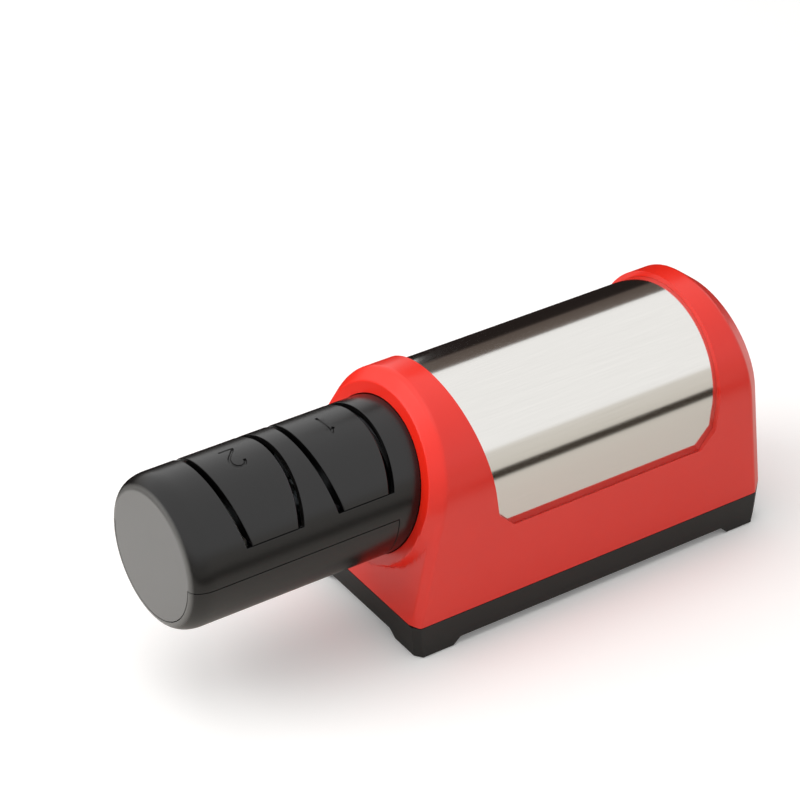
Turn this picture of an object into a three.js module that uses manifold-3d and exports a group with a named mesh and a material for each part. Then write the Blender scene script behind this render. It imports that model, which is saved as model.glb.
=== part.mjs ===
// Electric knife sharpener with two sharpening stages, in millimetres, +Z up.
// It is drawn along x from the flat end of the nose, with y from the middle and z from the table, and the
// finished group is shifted so that its origin lies under the middle of the whole sharpener.
import * as THREE from "three";
import { mergeVertices } from "three/addons/utils/BufferGeometryUtils.js";
import Module from "manifold-3d";

const wasm = await Module();
wasm.setup();

// Gaps, cuts and facets
const clearance = 0.3; // between pieces that seat on each other or pass each other
const overrun = 1; // how far a cut runs past the face that it opens
const weldDistance = 0.0001; // vertices closer than this are one vertex
const bodySteps = 36; // facets round the arch and the snout
const ringSteps = 18; // facets round wheels, hubs and the motor
const smallSteps = 8; // facets round screws, pins and posts
const arcSteps = 3; // half the facets of an arc in an outline

// Housing: an arched shell whose two ends lean inwards towards the top
const bodyWidth = 70;
const archAboveAxis = 1; // of the arched roof's centre above the spindle's axis
const seamHeight = 13.8; // between the housing and the base
const bodyLength = 136.4; // between the rims of the two ends, at the height of the arch's centre
const housingWall = 2.5;
const frontWall = 2.8;
const frontLean = 9.1; // degrees
const frontChamferLength = 2.2;
const frontChamferInset = 2.7;
const rearLean = 9.65; // degrees
const rearChamferLength = 5.9;
const rearChamferInset = 5.3;

// Collar of the housing round the snout
const collarInset = 3; // of the collar's face from the arch
const collarDepth = 5.4; // from the collar's face back to the rim, at the arch's centre
const collarLean = 11.3; // degrees

// Window in the housing and the steel cover that shows through it
const windowSetback = 22.3; // from the front rim to the window, at the arch's centre
const windowRearSetback = 15.5; // from the window to the rear rim, at the arch's centre
const windowFrontLean = 11; // degrees, against the lean of the front
const windowRearLean = 2; // degrees
const sillDrop = 15; // from the arch's centre down to its lower edge
const windowCorner = 6.5;
const sillFall = 30; // degrees, by which the lower edge falls inwards
const coverRecess = 2; // from the housing's surface to the steel
const coverThickness = 0.8;
const coverLap = 3.6; // of the steel behind the window's edge

// Frame of ribs and rails that backs the steel cover
const frameDepth = 2;
const frameRibWidth = 5;
const frameRibCount = 3;
const frameRibMargin = 9; // from the window's ends to the outer ribs
const frameRailHeight = 6;
const frameLedgeWidth = 2.4;
const frameLedgeHeight = 2;

// Snout: a closed tube that holds both sharpening stages
const snoutInset = 7.5; // of the snout's side from the body's side
const snoutLength = 89; // from the end face to the collar's face, at the arch's centre
const axisHeight = 57.8; // of the spindle, the snout and the motor
const snoutWall = 2.4;
const snoutEndWall = 3.2;
const snoutRoundingLength = 8;
const snoutRoundingInset = 4.4;
const roundingSteps = 4;
const snoutTail = 20; // of the tube inside the housing
const flangeWidth = 3.5; // of the flange round the tube
const flangeThickness = 3;
const flangeSetback = 9; // from the front rim back to the flange
const shoulderWidth = 1.6;
const shoulderDepth = 2.2;

// Stages: each has a saddle between two slots, over a pair of discs
const noseMargin = 14.55; // from the nose's end to the first stage's share of the snout
const collarMargin = 1.85; // from the last stage's share to the collar's face
const slotFloor = 10.8; // above the axis
const saddleShare = 0.496; // of the stages' spacing, between the flanks at the slots' floor
const slotWidth = 2.3;
const slotLean = 11.4; // degrees
const saddleShell = 2.6;
const flankThickness = 1.8;
const discRunout = 1.2; // left free between a disc's rim and the flanks above it
const tongueLength = 6;
const tongueThickness = 2;
const tongueWidth = 10;

// Digits sunk into the saddles
const digitWidth = 6.6;
const digitHeight = 11;
const digitStroke = 0.9;
const digitDepth = 0.5;
const digitOffset = 1.9; // of the digit's middle beyond the crown

// Swarf cover: the lower half of the snout, which pulls down
const seamAboveAxis = 0.7;
const trayOverlap = 3.3; // of the cover beyond the last saddle's flank
const trayLipHeight = 3;
const trayRootHeight = 6; // of the lips' roots below the seam
const trayLipThickness = 1.5;
const nailNotchStart = 12.5;
const nailNotchLength = 3;
const nailNotchDepth = 0.6;
const nailNotchWidth = 40;

// Spindle, its bearings and the felt seal
const spindleDiameter = 8;
const spindleStart = 4;
const spindleChamfer = 0.6;
const bushWall = 1.7;
const bushLength = 8.4;
const bushFlange = 2.2;
const bushFlangeThickness = 1.2;
const bushBossWall = 3;
const bearingDiameter = 22;
const bearingWidth = 7;
const innerRingWall = 2.2;
const carrierThickness = 3;
const carrierHubWall = 3;
const sealThickness = 2;
const sealWidth = 5;

// Grinding discs, drive pins and springs
const discMargin = 5.1; // from a disc's rim to the bore of the snout
const discProtrusion = 1; // of the abrasive face into the slot, at the slots' floor
const discCone = 9; // degrees
const abrasiveThickness = 1.45;
const abrasiveInner = 9;
const backingThickness = 1.5;
const hubRadius = 8;
const hubFront = 2.4;
const hubBack = 5.6;
const pinDiameter = 2;
const pinLength = 15;
const springWire = 1.2;
const springRadius = 6;
const springTurns = 4;
const springSteps = 8; // per turn
const wireSides = 3; // half the facets round the wire

// Jaw coupling between the spindle and the motor
const couplingRadius = 10;
const couplingHubLength = 9.6;
const couplingJawLength = 5.4;
const couplingJaws = 3;
const couplingGap = 1; // to the bearing and to the motor's screws
const jawAngle = 46; // degrees
const jawInner = 4.2;
const spiderRing = 4.4;
const spiderBore = 2.6;
const spiderPlay = 1.3; // degrees left free at the legs

// Motor
const motorRadius = 19.2;
const canWall = 1.6;
const canLength = 56;
const bellThickness = 3;
const bellBossRadius = 7;
const bellBossLength = 3.2;
const motorShaftDiameter = 5;
const armatureRadius = 12.4;
const armatureLength = 38;
const armaturePoles = 5;
const poleAngle = 54; // degrees
const armatureCore = 5.6;
const endCapThickness = 3.6;

// Motor bracket, cradle and strap
const bracketThickness = 2.6;
const bracketFootLength = 12;
const bracketFootMargin = 11; // from the foot to the body's side
const bracketHeadRadius = 16;
const mountPitch = 12; // of the two motor screws from the axis
const cradleLength = 24;
const cradleMargin = 12; // from the cradle to the body's side
const cradleWall = 3.4;
const cradleDrop = 11.8; // from the axis down to the cradle's shoulders
const strapThickness = 1;
const strapEar = 7;
const strapWidth = 12;

// Cooling fan
const fanRadius = 22;
const fanLength = 7;
const fanHubRadius = 6;
const fanBlades = 7;
const bladeThickness = 1.4;
const bladePitch = 35; // degrees
const fanGap = 3;

// Base tray with corner feet
const baseFrontUndercut = 1.8;
const baseRearDraft = 0.5;
const baseWall = 2.4;
const baseFloor = 2.2;
const footHeight = 3.2;
const footLength = 14.6;
const footWidth = 13.5;
const footSlant = 3.5;
const padRadius = 4.5;
const padThickness = 1.6;
const padProjection = 0.4;
const ventCount = 7;
const ventWidth = 3;
const ventLength = 26;
const ventPitch = 8;

// Screws
const partGap = 1; // beside a screw's head, and between the parts on the circuit board
const screwRadius = 1.2;
const screwHeadRadius = 3;
const screwHeadHeight = 2;
const screwTipGap = 8.2; // left free in a post above its screw
const flangeScrewHeadRadius = 2.2;
const postRadius = 4;
const postDrop = 24; // from the axis down to the posts' tops
const screwSetback = 22; // from the front and rear rims, at the seam
const bossWall = 1.9;
const screwSeat = 4.8; // from the underside up to the seat of the head
const machineScrewLength = 6;

// Circuit board and what stands on it
const boardLength = 38;
const boardMargin = 17; // from the board to the body's side
const boardThickness = 1.6;
const boardRearGap = 14; // from the board to the inside of the rear wall
const standoffHeight = 5;
const standoffRadius = 2.6;
const standoffInset = 3.1; // of the standoffs from the board's edges
const capacitorDiameter = 10;
const capacitorHeight = 15;
const rectifierLength = 15;
const rectifierWidth = 4.5;
const rectifierHeight = 11;

// Rocker switch in the rear wall, sizes along the leaning wall
const switchRise = 7.2; // of its middle above the arch's centre
const bezelHeight = 21;
const bezelWidth = 15;
const bezelThickness = 2;
const switchBodyHeight = 18.6;
const switchBodyWidth = 12.4;
const switchBodyDepth = 13;
const rockerHeight = 14.4;
const rockerWidth = 9.4;
const rockerRise = 2.6;
const rockerDish = 1.4;
const rockerDepth = 3.6;
const rockerPivotDepth = 1;
const rockerTilt = 8; // degrees, each side of the middle
const rockerWell = 6;
const rockerAxleRadius = 0.9;
const rockerAxleEnd = 0.4;
const rockerSideGap = 0.6; // both sides together, in the well
const rockerEndGap = 1.2; // both ends together, in the well
const rockerWaistShare = 0.82; // of its height, at half its depth

// Power inlet under the switch, with two pins
const inletHeight = 34; // of its middle above the table
const inletFlangeWidth = 25;
const inletFlangeHeight = 15;
const inletFlangeThickness = 1.8;
const inletBodyWidth = 20;
const inletBodyHeight = 12;
const inletDepth = 16;
const socketWidth = 14.6;
const socketHeight = 7.6;
const socketDepth = 12;
const socketPinRadius = 1.2;
const socketPinPitch = 8.6;
const socketPinLength = 9;
const socketPinRoot = 2.4;

// Places that follow from the sizes above
const halfBody = bodyWidth / 2;
const archCentreHeight = axisHeight + archAboveAxis;
const windowSill = archCentreHeight - sillDrop;
const cradleRise = axisHeight - cradleDrop;
const switchHeight = archCentreHeight + switchRise;
const snoutRadius = halfBody - snoutInset;
const snoutBore = snoutRadius - snoutWall;
const noseRadius = snoutRadius - snoutRoundingInset;
const spindleRadius = spindleDiameter / 2;
const bearingRadius = bearingDiameter / 2;
const motorShaftRadius = motorShaftDiameter / 2;
const pinRadius = pinDiameter / 2;
const collarRadius = halfBody - collarInset;
const flangeRadius = snoutRadius + flangeWidth;
const discRadius = snoutBore - discMargin;
const discSpace = discRadius + discRunout;
const bracketFootHalfWidth = halfBody - bracketFootMargin;
const cradleHalfWidth = halfBody - cradleMargin;
const boardHalfWidth = halfBody - boardMargin;
const stageSpacing = (snoutLength - noseMargin - collarMargin) / 2;
const fineStage = noseMargin + stageSpacing / 2;
const coarseStage = fineStage + stageSpacing;
const saddleWidth = stageSpacing * saddleShare;
const trayEnd = coarseStage + saddleWidth / 2 + trayOverlap;
const frontRim = snoutLength + collarDepth;
const rearRim = frontRim + bodyLength;
const frontFace = frontRim - frontChamferLength;
const rearFace = rearRim + rearChamferLength;
const windowFront = frontRim + windowSetback;
const windowRear = rearRim - windowRearSetback;
const snoutEnd = frontRim + snoutTail;
const flangeStart = frontRim + flangeSetback;
const seamSnout = axisHeight + seamAboveAxis;
const slotFloorHeight = axisHeight + slotFloor;
const stages = [
  { name: "fine", centre: fineStage, digit: "2" },
  { name: "coarse", centre: coarseStage, digit: "1" },
];
const bearingStart = trayEnd + shoulderWidth + carrierThickness + clearance;
const bearingEnd = bearingStart + bearingWidth;
const couplingStart = bearingEnd + couplingGap;
const couplingGapStart = couplingStart + couplingHubLength;
const couplingGapEnd = couplingGapStart + couplingJawLength + clearance;
const couplingEnd = couplingGapEnd + couplingHubLength;
const bracketStart = couplingEnd + couplingGap + screwHeadHeight;
const bellStart = bracketStart + bracketThickness + clearance;
const canStart = bellStart + bellThickness + clearance;
const canEnd = canStart + canLength;
const endCapEnd = canEnd + clearance + endCapThickness;
const fanStart = endCapEnd + fanGap;
const fanEnd = fanStart + fanLength;
const undersideTop = footHeight + baseFloor;
const postTop = axisHeight - postDrop;
const postHoleTop = postTop - bossWall;
const screwHeadTop = footHeight + screwSeat - clearance;
const screwLength = postHoleTop - screwTipGap - screwHeadTop;

// Geometry helpers. Each takes and returns a closed three.js geometry.

const slope = (degrees) => Math.tan(THREE.MathUtils.degToRad(degrees));
const turn = (degrees) => THREE.MathUtils.degToRad(degrees);

function bareGeometry(positions, index) {
  const made = new THREE.BufferGeometry();
  made.setAttribute("position", new THREE.Float32BufferAttribute(positions, 3));
  made.setIndex(index);
  return made;
}

function toSolid(geometry) {
  const bare = geometry.clone();
  bare.deleteAttribute("normal");
  bare.deleteAttribute("uv");
  const merged = mergeVertices(bare, weldDistance);
  const index = [];
  const corners = merged.index.array;
  for (let i = 0; i < corners.length; i += 3) {
    const [a, b, c] = corners.slice(i, i + 3);
    if (a !== b && b !== c && c !== a) index.push(a, b, c);
  }
  const vertProperties = new Float32Array(merged.attributes.position.array);
  const build = (triVerts) =>
    new wasm.Manifold(new wasm.Mesh({ numProp: 3, vertProperties, triVerts }));
  const solid = build(new Uint32Array(index));
  return solid.volume() < 0 ? build(new Uint32Array(index.reverse())) : solid;
}

function toGeometry(solid) {
  const mesh = solid.getMesh();
  const positions = [];
  for (let i = 0; i < mesh.numVert; i += 1) {
    const at = i * mesh.numProp;
    positions.push(...mesh.vertProperties.subarray(at, at + 3));
  }
  return bareGeometry(positions, Array.from(mesh.triVerts));
}

const join = (...pieces) =>
  toGeometry(pieces.map(toSolid).reduce((whole, piece) => whole.add(piece)));

const cut = (base, ...tools) =>
  toGeometry(tools.map(toSolid).reduce((left, tool) => left.subtract(tool), toSolid(base)));

const common = (...pieces) =>
  toGeometry(pieces.map(toSolid).reduce((shared, piece) => shared.intersect(piece)));

const moved = (geometry, x, y, z) => geometry.clone().translate(x, y, z);

// Skins a row of convex rings, each with as many points, and closes both ends.
function loft(rings) {
  const count = rings[0].length;
  const positions = rings.flat().flatMap((point) => point);
  const index = [];
  for (let ring = 0; ring + 1 < rings.length; ring += 1) {
    for (let i = 0; i < count; i += 1) {
      const a = ring * count + i;
      const b = ring * count + ((i + 1) % count);
      index.push(a, b, b + count, a, b + count, a + count);
    }
  }
  const last = (rings.length - 1) * count;
  for (let i = 1; i + 1 < count; i += 1) {
    index.push(0, i + 1, i);
    index.push(last, last + i, last + i + 1);
  }
  return bareGeometry(positions, index);
}

function outline(points) {
  return new THREE.Shape(points.map(([u, v]) => new THREE.Vector2(u, v)));
}

function extruded(shape, depth) {
  const drawn = Array.isArray(shape) ? outline(shape) : shape;
  return new THREE.ExtrudeGeometry(drawn, { depth, bevelEnabled: false, curveSegments: arcSteps });
}

const axisX = new THREE.Vector3(1, 0, 0);
const axisY = new THREE.Vector3(0, 1, 0);
const axisZ = new THREE.Vector3(0, 0, 1);

// The outline is drawn in y and z, and runs along x.
function prismAlongX(shape, from, to) {
  const frame = new THREE.Matrix4().makeBasis(axisY, axisZ, axisX);
  return extruded(shape, to - from).applyMatrix4(frame).translate(from, 0, 0);
}

// The outline is drawn in x and z, and runs across y.
function prismAlongY(shape, from, to) {
  const frame = new THREE.Matrix4().makeBasis(axisX, axisZ, axisY.clone().negate());
  return extruded(shape, to - from).applyMatrix4(frame).translate(0, to, 0);
}

// The outline is drawn in x and y, and runs up z.
function prismAlongZ(shape, from, to) {
  return extruded(shape, to - from).translate(0, 0, from);
}

function block(x, y, z) {
  const rectangle = [
    [x[0], y[0]],
    [x[1], y[0]],
    [x[1], y[1]],
    [x[0], y[1]],
  ];
  return prismAlongZ(rectangle, z[0], z[1]);
}

// Turns a profile of [radius, station] points about the x axis.
function turned(profile, steps = ringSteps) {
  const points = profile.map(([radius, station]) => new THREE.Vector2(radius, station));
  return new THREE.LatheGeometry(points, steps).rotateZ(turn(-90));
}

function rod(radius, from, to, steps = ringSteps) {
  const profile = [
    [0, from],
    [radius, from],
    [radius, to],
    [0, to],
  ];
  return turned(profile, steps);
}

function tube(inner, outer, from, to, steps = ringSteps) {
  const profile = [
    [inner, from],
    [outer, from],
    [outer, to],
    [inner, to],
    [inner, from],
  ];
  return turned(profile, steps);
}

const upright = (geometry) => geometry.clone().rotateY(turn(-90));
const onAxis = (geometry) => moved(geometry, 0, 0, axisHeight);

// A stretch of ring between two angles, turned about the x axis.
function sector(inner, outer, middle, width, from, to) {
  const start = turn(middle - width / 2);
  const end = turn(middle + width / 2);
  const shape = new THREE.Shape();
  shape.absarc(0, 0, outer, start, end, false);
  shape.absarc(0, 0, inner, end, start, true);
  return prismAlongX(shape, from, to);
}

function piece(group, name, geometry, material) {
  const shown = geometry.index ? geometry.toNonIndexed() : geometry;
  shown.computeVertexNormals();
  const mesh = new THREE.Mesh(shown, material);
  mesh.name = name;
  group.add(mesh);
  return mesh;
}

// Body profile helpers

// Height above the arch's centre moves a leaning end along x.
const leaning = (at, degrees, height) => at + (height - archCentreHeight) * slope(degrees);

// The arch with its straight legs, as [y, z] points from one foot over the top to the other.
function archPath(inset, legHeights) {
  const radius = halfBody - inset;
  const legs = legHeights.map((height) => [-radius, height]);
  const arch = [];
  for (let i = 0; i <= bodySteps / 2; i += 1) {
    const angle = Math.PI * (1 - i / (bodySteps / 2));
    arch.push([radius * Math.cos(angle), archCentreHeight + radius * Math.sin(angle)]);
  }
  const farLegs = legs.map(([y, z]) => [-y, z]).reverse();
  return [...legs, ...arch, ...farLegs];
}

const bodyRing = (inset, at, lean, foot) =>
  archPath(inset, [foot]).map(([y, z]) => [leaning(at, lean, z), y, z]);

function circleRing(radius, centre, at, lean) {
  const ring = [];
  for (let i = 0; i < bodySteps; i += 1) {
    const angle = (i / bodySteps) * Math.PI * 2;
    const z = centre + radius * Math.sin(angle);
    ring.push([leaning(at, lean, z), radius * Math.cos(angle), z]);
  }
  return ring;
}

// A bent sheet between two insets of the arch, from one leaning edge to another.
function archSleeve(outerInset, innerInset, front, rear, foot) {
  const outer = archPath(outerInset, [foot]);
  const inner = archPath(innerInset, [foot]);
  const rings = outer.map(([y, z], i) => {
    const [innerY, innerZ] = inner[i];
    return [
      [leaning(front, -windowFrontLean, z), y, z],
      [leaning(rear, windowRearLean, z), y, z],
      [leaning(rear, windowRearLean, innerZ), innerY, innerZ],
      [leaning(front, -windowFrontLean, innerZ), innerY, innerZ],
    ];
  });
  return loft(rings);
}

// The window's cut: its two lower corners are cut off and its sill falls inwards.
function windowCut() {
  const heights = [windowSill, windowSill + windowCorner];
  const outer = archPath(-overrun, heights);
  const inner = archPath(housingWall + overrun, heights);
  const depth = housingWall + overrun;
  const rings = outer.map(([y, z], i) => {
    const isSill = i === 0 || i === outer.length - 1;
    const corner = isSill ? windowCorner : 0;
    const rise = isSill ? overrun * slope(sillFall) : 0;
    const fall = isSill ? depth * slope(sillFall) : 0;
    const [innerY, innerZ] = inner[i];
    const front = (height) => leaning(windowFront, -windowFrontLean, height) + corner;
    const rear = (height) => leaning(windowRear, windowRearLean, height) - corner;
    return [
      [front(z), y, z + rise],
      [rear(z), y, z + rise],
      [rear(innerZ), innerY, innerZ - fall],
      [front(innerZ), innerY, innerZ - fall],
    ];
  });
  return loft(rings);
}

// Rear wall frame: x points out of the wall, z up along it, at a height on its outer face.
function onRearWall(geometry, height) {
  const made = geometry.clone().rotateY(turn(-rearLean));
  return made.translate(leaning(rearFace, -rearLean, height), 0, height);
}

// Places of the base screws, feet and bosses

const frontAtSeam = leaning(frontFace, frontLean, seamHeight);
const rearAtSeam = leaning(rearFace, -rearLean, seamHeight);
const screwSide = halfBody - housingWall - postRadius + clearance;
const screwStations = [
  leaning(frontRim, frontLean, seamHeight) + screwSetback,
  leaning(rearRim, -rearLean, seamHeight) - screwSetback,
];
const padSide = halfBody - footWidth / 2 - clearance;
const padStations = [
  frontAtSeam + baseFrontUndercut + footLength / 2,
  rearAtSeam - baseRearDraft - rearChamferLength - footLength / 2 + padRadius,
];
const corners = [
  { name: "front_right", station: 0, side: -1 },
  { name: "front_left", station: 0, side: 1 },
  { name: "rear_right", station: 1, side: -1 },
  { name: "rear_left", station: 1, side: 1 },
];
const screwPlaces = corners.map(({ station, side }) => [screwStations[station], side * screwSide]);
const padPlaces = corners.map(({ station, side }) => [padStations[station], side * padSide]);
const flangeScrewPitch = snoutRadius + flangeScrewHeadRadius + clearance;
const flangeScrewAngles = [90, 210, 330];
const flangeScrewPlaces = flangeScrewAngles.map((angle) => [
  flangeScrewPitch * Math.cos(turn(angle)),
  axisHeight + flangeScrewPitch * Math.sin(turn(angle)),
]);

// Materials

const finish = (color, roughness, metalness = 0) =>
  new THREE.MeshStandardMaterial({ color, roughness, metalness });
const redPlastic = finish("#c8392c", 0.35);
const blackPlastic = finish("#2b2a2b", 0.45);
const blackBase = finish("#2d2d2d", 0.6);
const greyPlastic = finish("#3a3a3c", 0.6);
const whitePlastic = finish("#d8d5cc", 0.5);
const polishedSteel = finish("#e2e0da", 0.18, 1);
const plainSteel = finish("#a9adb0", 0.35, 1);
const zincSteel = finish("#b7bcc0", 0.4, 1);
const bronze = finish("#b08a4e", 0.4, 1);
const brass = finish("#c9a85c", 0.3, 1);
const feltWool = finish("#8d8d88", 0.95);
const rubber = finish("#1d1d1e", 0.8);
const diamondGrit = finish("#8b8e92", 0.6, 0.6);
const ceramic = finish("#e9e4da", 0.7);
const carbon = finish("#26272a", 0.7);
const spiderRubber = finish("#a83a2b", 0.6);
const boardLaminate = finish("#2f6b45", 0.5);
const sleeveBlue = finish("#27406b", 0.4);

// Housing

function screwPost(x, y) {
  const solid = upright(rod(postRadius, seamHeight, postTop, smallSteps));
  return moved(solid, x, y, 0);
}

function screwPostHole(x, y) {
  const hole = upright(rod(screwRadius + clearance, seamHeight - overrun, postHoleTop, smallSteps));
  return moved(hole, x, y, 0);
}

function housing() {
  const foot = seamHeight;
  const outer = loft([
    bodyRing(frontChamferInset, frontFace, frontLean, foot),
    bodyRing(0, frontRim, frontLean, foot),
    bodyRing(0, rearRim, -rearLean, foot),
    bodyRing(rearChamferInset, rearFace, -rearLean, foot),
  ]);
  const collar = loft([
    circleRing(collarRadius, axisHeight, snoutLength, collarLean),
    circleRing(halfBody, archCentreHeight, frontRim, frontLean),
  ]);
  const cavityFoot = seamHeight - overrun;
  const cavity = loft([
    bodyRing(housingWall, frontFace + frontWall, frontLean, cavityFoot),
    bodyRing(housingWall, rearRim - housingWall, -rearLean, cavityFoot),
    bodyRing(housingWall + rearChamferInset, rearFace - housingWall, -rearLean, cavityFoot),
  ]);
  const bore = onAxis(rod(snoutRadius + clearance, 0, snoutEnd, bodySteps));
  const rebate = archSleeve(
    coverRecess - clearance,
    housingWall + overrun,
    windowFront - coverLap - clearance,
    windowRear + coverLap + clearance,
    windowSill - coverLap - clearance,
  );
  const posts = screwPlaces.map(([x, y]) => screwPost(x, y));
  const holes = screwPlaces.map(([x, y]) => screwPostHole(x, y));
  const bossLength = flangeStart - clearance;
  const bosses = flangeScrewPlaces.map(([y, z]) => {
    const start = leaning(frontFace, frontLean, z) + clearance;
    return moved(rod(screwRadius + bossWall, start, bossLength, smallSteps), 0, y, z);
  });
  const bossHoles = flangeScrewPlaces.map(([y, z]) => {
    const start = bossLength - machineScrewLength;
    return moved(rod(screwRadius + clearance, start, bossLength + overrun, smallSteps), 0, y, z);
  });
  const shell = cut(join(outer, collar), cavity);
  const ledges = [-1, 1].map((side) => {
    const inner = halfBody - housingWall - frameLedgeWidth + clearance;
    const outerSide = halfBody - housingWall + clearance;
    const y = side < 0 ? [-outerSide, -inner] : [inner, outerSide];
    const top = windowSill - coverLap - clearance - frameLedgeHeight;
    return block([windowFront, windowRear], y, [top - frameLedgeHeight, top]);
  });
  const fitted = join(shell, ...ledges, ...posts, ...bosses);
  return cut(fitted, bore, rebate, windowCut(), ...holes, ...bossHoles, ...rearWallCuts());
}

function rearWallCuts() {
  const through = [-housingWall - overrun, overrun];
  const fits = (size) => [-size / 2 - clearance, size / 2 + clearance];
  const switchHole = block(through, fits(switchBodyWidth), fits(switchBodyHeight));
  const inletHole = block(through, fits(inletBodyWidth), fits(inletBodyHeight));
  return [onRearWall(switchHole, switchHeight), onRearWall(inletHole, inletHeight)];
}

// Steel cover and the frame behind it

function steelCover() {
  return archSleeve(
    coverRecess,
    coverRecess + coverThickness,
    windowFront - coverLap,
    windowRear + coverLap,
    windowSill - coverLap,
  );
}

function coverFrame() {
  const outer = coverRecess + coverThickness + clearance;
  const inner = outer + frameDepth;
  const bottom = windowSill - coverLap - frameLedgeHeight;
  const start = windowFront + frameRibMargin;
  const end = windowRear - frameRibMargin;
  const pitch = (end - start - frameRibWidth) / (frameRibCount - 1);
  const ribs = [];
  for (let i = 0; i < frameRibCount; i += 1) {
    const x = start + i * pitch;
    const path = archPath(outer, [bottom]);
    const innerPath = archPath(inner, [bottom]).reverse();
    ribs.push(prismAlongX([...path, ...innerPath], x, x + frameRibWidth));
  }
  const rails = [-1, 1].map((side) => {
    const near = halfBody - inner;
    const far = halfBody - outer;
    const y = side < 0 ? [-far, -near] : [near, far];
    return block([start, end], y, [bottom, bottom + frameRailHeight]);
  });
  return join(...ribs, ...rails);
}

// Base tray

function baseOutline(inset, frontShift, rearShift) {
  const side = halfBody - inset;
  const front = frontAtSeam + frontShift + inset;
  const rear = rearAtSeam - rearShift - inset;
  const half = [
    [front, side - frontChamferInset],
    [front + frontChamferLength, side],
    [rear - rearChamferLength, side],
    [rear, side - rearChamferInset],
  ];
  const far = half.map(([x, y]) => [x, -y]).reverse();
  return [...half, ...far];
}

const outlineAt = (points, z) => points.map(([x, y]) => [x, y, z]);

function baseCover() {
  const top = seamHeight - clearance;
  const outer = loft([
    outlineAt(baseOutline(0, baseFrontUndercut, baseRearDraft), padProjection),
    outlineAt(baseOutline(0, 0, 0), top),
  ]);
  const cavity = loft([
    outlineAt(baseOutline(baseWall, baseFrontUndercut, baseRearDraft), undersideTop),
    outlineAt(baseOutline(baseWall, 0, 0), top + overrun),
  ]);
  const footFront = frontAtSeam + baseFrontUndercut + footLength;
  const footRear = rearAtSeam - baseRearDraft - rearChamferLength - footLength + footSlant;
  const alongRelief = prismAlongY(
    [
      [footFront, 0],
      [footRear, 0],
      [footRear - footSlant, footHeight],
      [footFront + footSlant, footHeight],
    ],
    -halfBody - overrun,
    halfBody + overrun,
  );
  const footInner = halfBody - footWidth;
  const acrossRelief = prismAlongX(
    [
      [-footInner, 0],
      [footInner, 0],
      [footInner - footSlant, footHeight],
      [-footInner + footSlant, footHeight],
    ],
    frontAtSeam - overrun,
    rearAtSeam + overrun,
  );
  const padPockets = padPlaces.map(([x, y]) => {
    const pocket = upright(rod(padRadius + clearance, 0, padThickness + clearance, smallSteps));
    return moved(pocket, x, y, 0);
  });
  const bosses = screwPlaces.map(([x, y]) => {
    const boss = upright(rod(screwHeadRadius + clearance + bossWall, footHeight, top, smallSteps));
    return moved(boss, x, y, 0);
  });
  const counterbores = screwPlaces.map(([x, y]) => {
    const seat = footHeight + screwSeat;
    const head = upright(rod(screwHeadRadius + clearance, 0, seat, smallSteps));
    const shank = upright(rod(screwRadius + clearance, 0, top + overrun, smallSteps));
    return moved(join(head, shank), x, y, 0);
  });
  const trimmedBosses = bosses.map((boss) => common(boss, outer));
  const tray = join(cut(outer, cavity), ...trimmedBosses, ...boardStandoffs(), ...bracketPads());
  return cut(tray, alongRelief, acrossRelief, ...padPockets, ...counterbores, ...vents());
}

function vents() {
  const middle = (canStart + canEnd) / 2;
  const slots = [];
  for (let i = 0; i < ventCount; i += 1) {
    const x = middle + (i - (ventCount - 1) / 2) * ventPitch;
    const across = [-ventLength / 2, ventLength / 2];
    slots.push(block([x - ventWidth / 2, x + ventWidth / 2], across, [0, undersideTop + overrun]));
  }
  return slots;
}

const boardEnd = leaning(rearFace - housingWall, -rearLean, undersideTop) - boardRearGap;
const boardStart = boardEnd - boardLength;
const boardBottom = undersideTop + standoffHeight + clearance;
const boardTop = boardBottom + boardThickness;

function boardCorners() {
  const places = [];
  const side = boardHalfWidth - standoffInset;
  for (const x of [boardStart + standoffInset, boardEnd - standoffInset]) {
    for (const y of [-side, side]) places.push([x, y]);
  }
  return places;
}

function boardStandoffs() {
  const height = undersideTop + standoffHeight;
  return boardCorners().map(([x, y]) =>
    moved(upright(rod(standoffRadius, footHeight, height, smallSteps)), x, y, 0),
  );
}

const bracketFootTop = undersideTop + clearance + bracketThickness;
const bracketScrewSide = bracketFootHalfWidth - screwHeadRadius - bossWall;
const bracketEnd = bracketStart + bracketThickness;
const bracketScrewStation = bracketEnd - bracketFootLength + screwHeadRadius + partGap;

function bracketPads() {
  return [-1, 1].map((side) => {
    const pad = cut(
      rod(screwHeadRadius + bossWall, footHeight, undersideTop, smallSteps),
      rod(screwRadius + clearance, footHeight - overrun, undersideTop + overrun, smallSteps),
    );
    return moved(upright(pad), bracketScrewStation, side * bracketScrewSide, 0);
  });
}

function footPad() {
  return upright(rod(padRadius, 0, padThickness, smallSteps));
}

// A screw that stands on its head at the origin and points up.
function screw(length, headRadius = screwHeadRadius) {
  const profile = [
    [0, 0],
    [headRadius, 0],
    [headRadius, screwHeadHeight],
    [screwRadius, screwHeadHeight],
    [screwRadius, screwHeadHeight + length],
    [0, screwHeadHeight + length],
  ];
  return turned(profile, smallSteps);
}

// Snout body: end cap, upper half, tube and flange in one moulding

function wedge(centre, floorHalfWidth, from, to) {
  const half = (height) => floorHalfWidth + (height - slotFloorHeight) * slope(slotLean);
  return prismAlongY(
    [
      [centre - half(from), from],
      [centre + half(from), from],
      [centre + half(to), to],
      [centre - half(to), to],
    ],
    -snoutRadius,
    snoutRadius,
  );
}

const snoutTop = axisHeight + snoutRadius + overrun;
const slotHalfWidth = saddleWidth / 2 + slotWidth;

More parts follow.
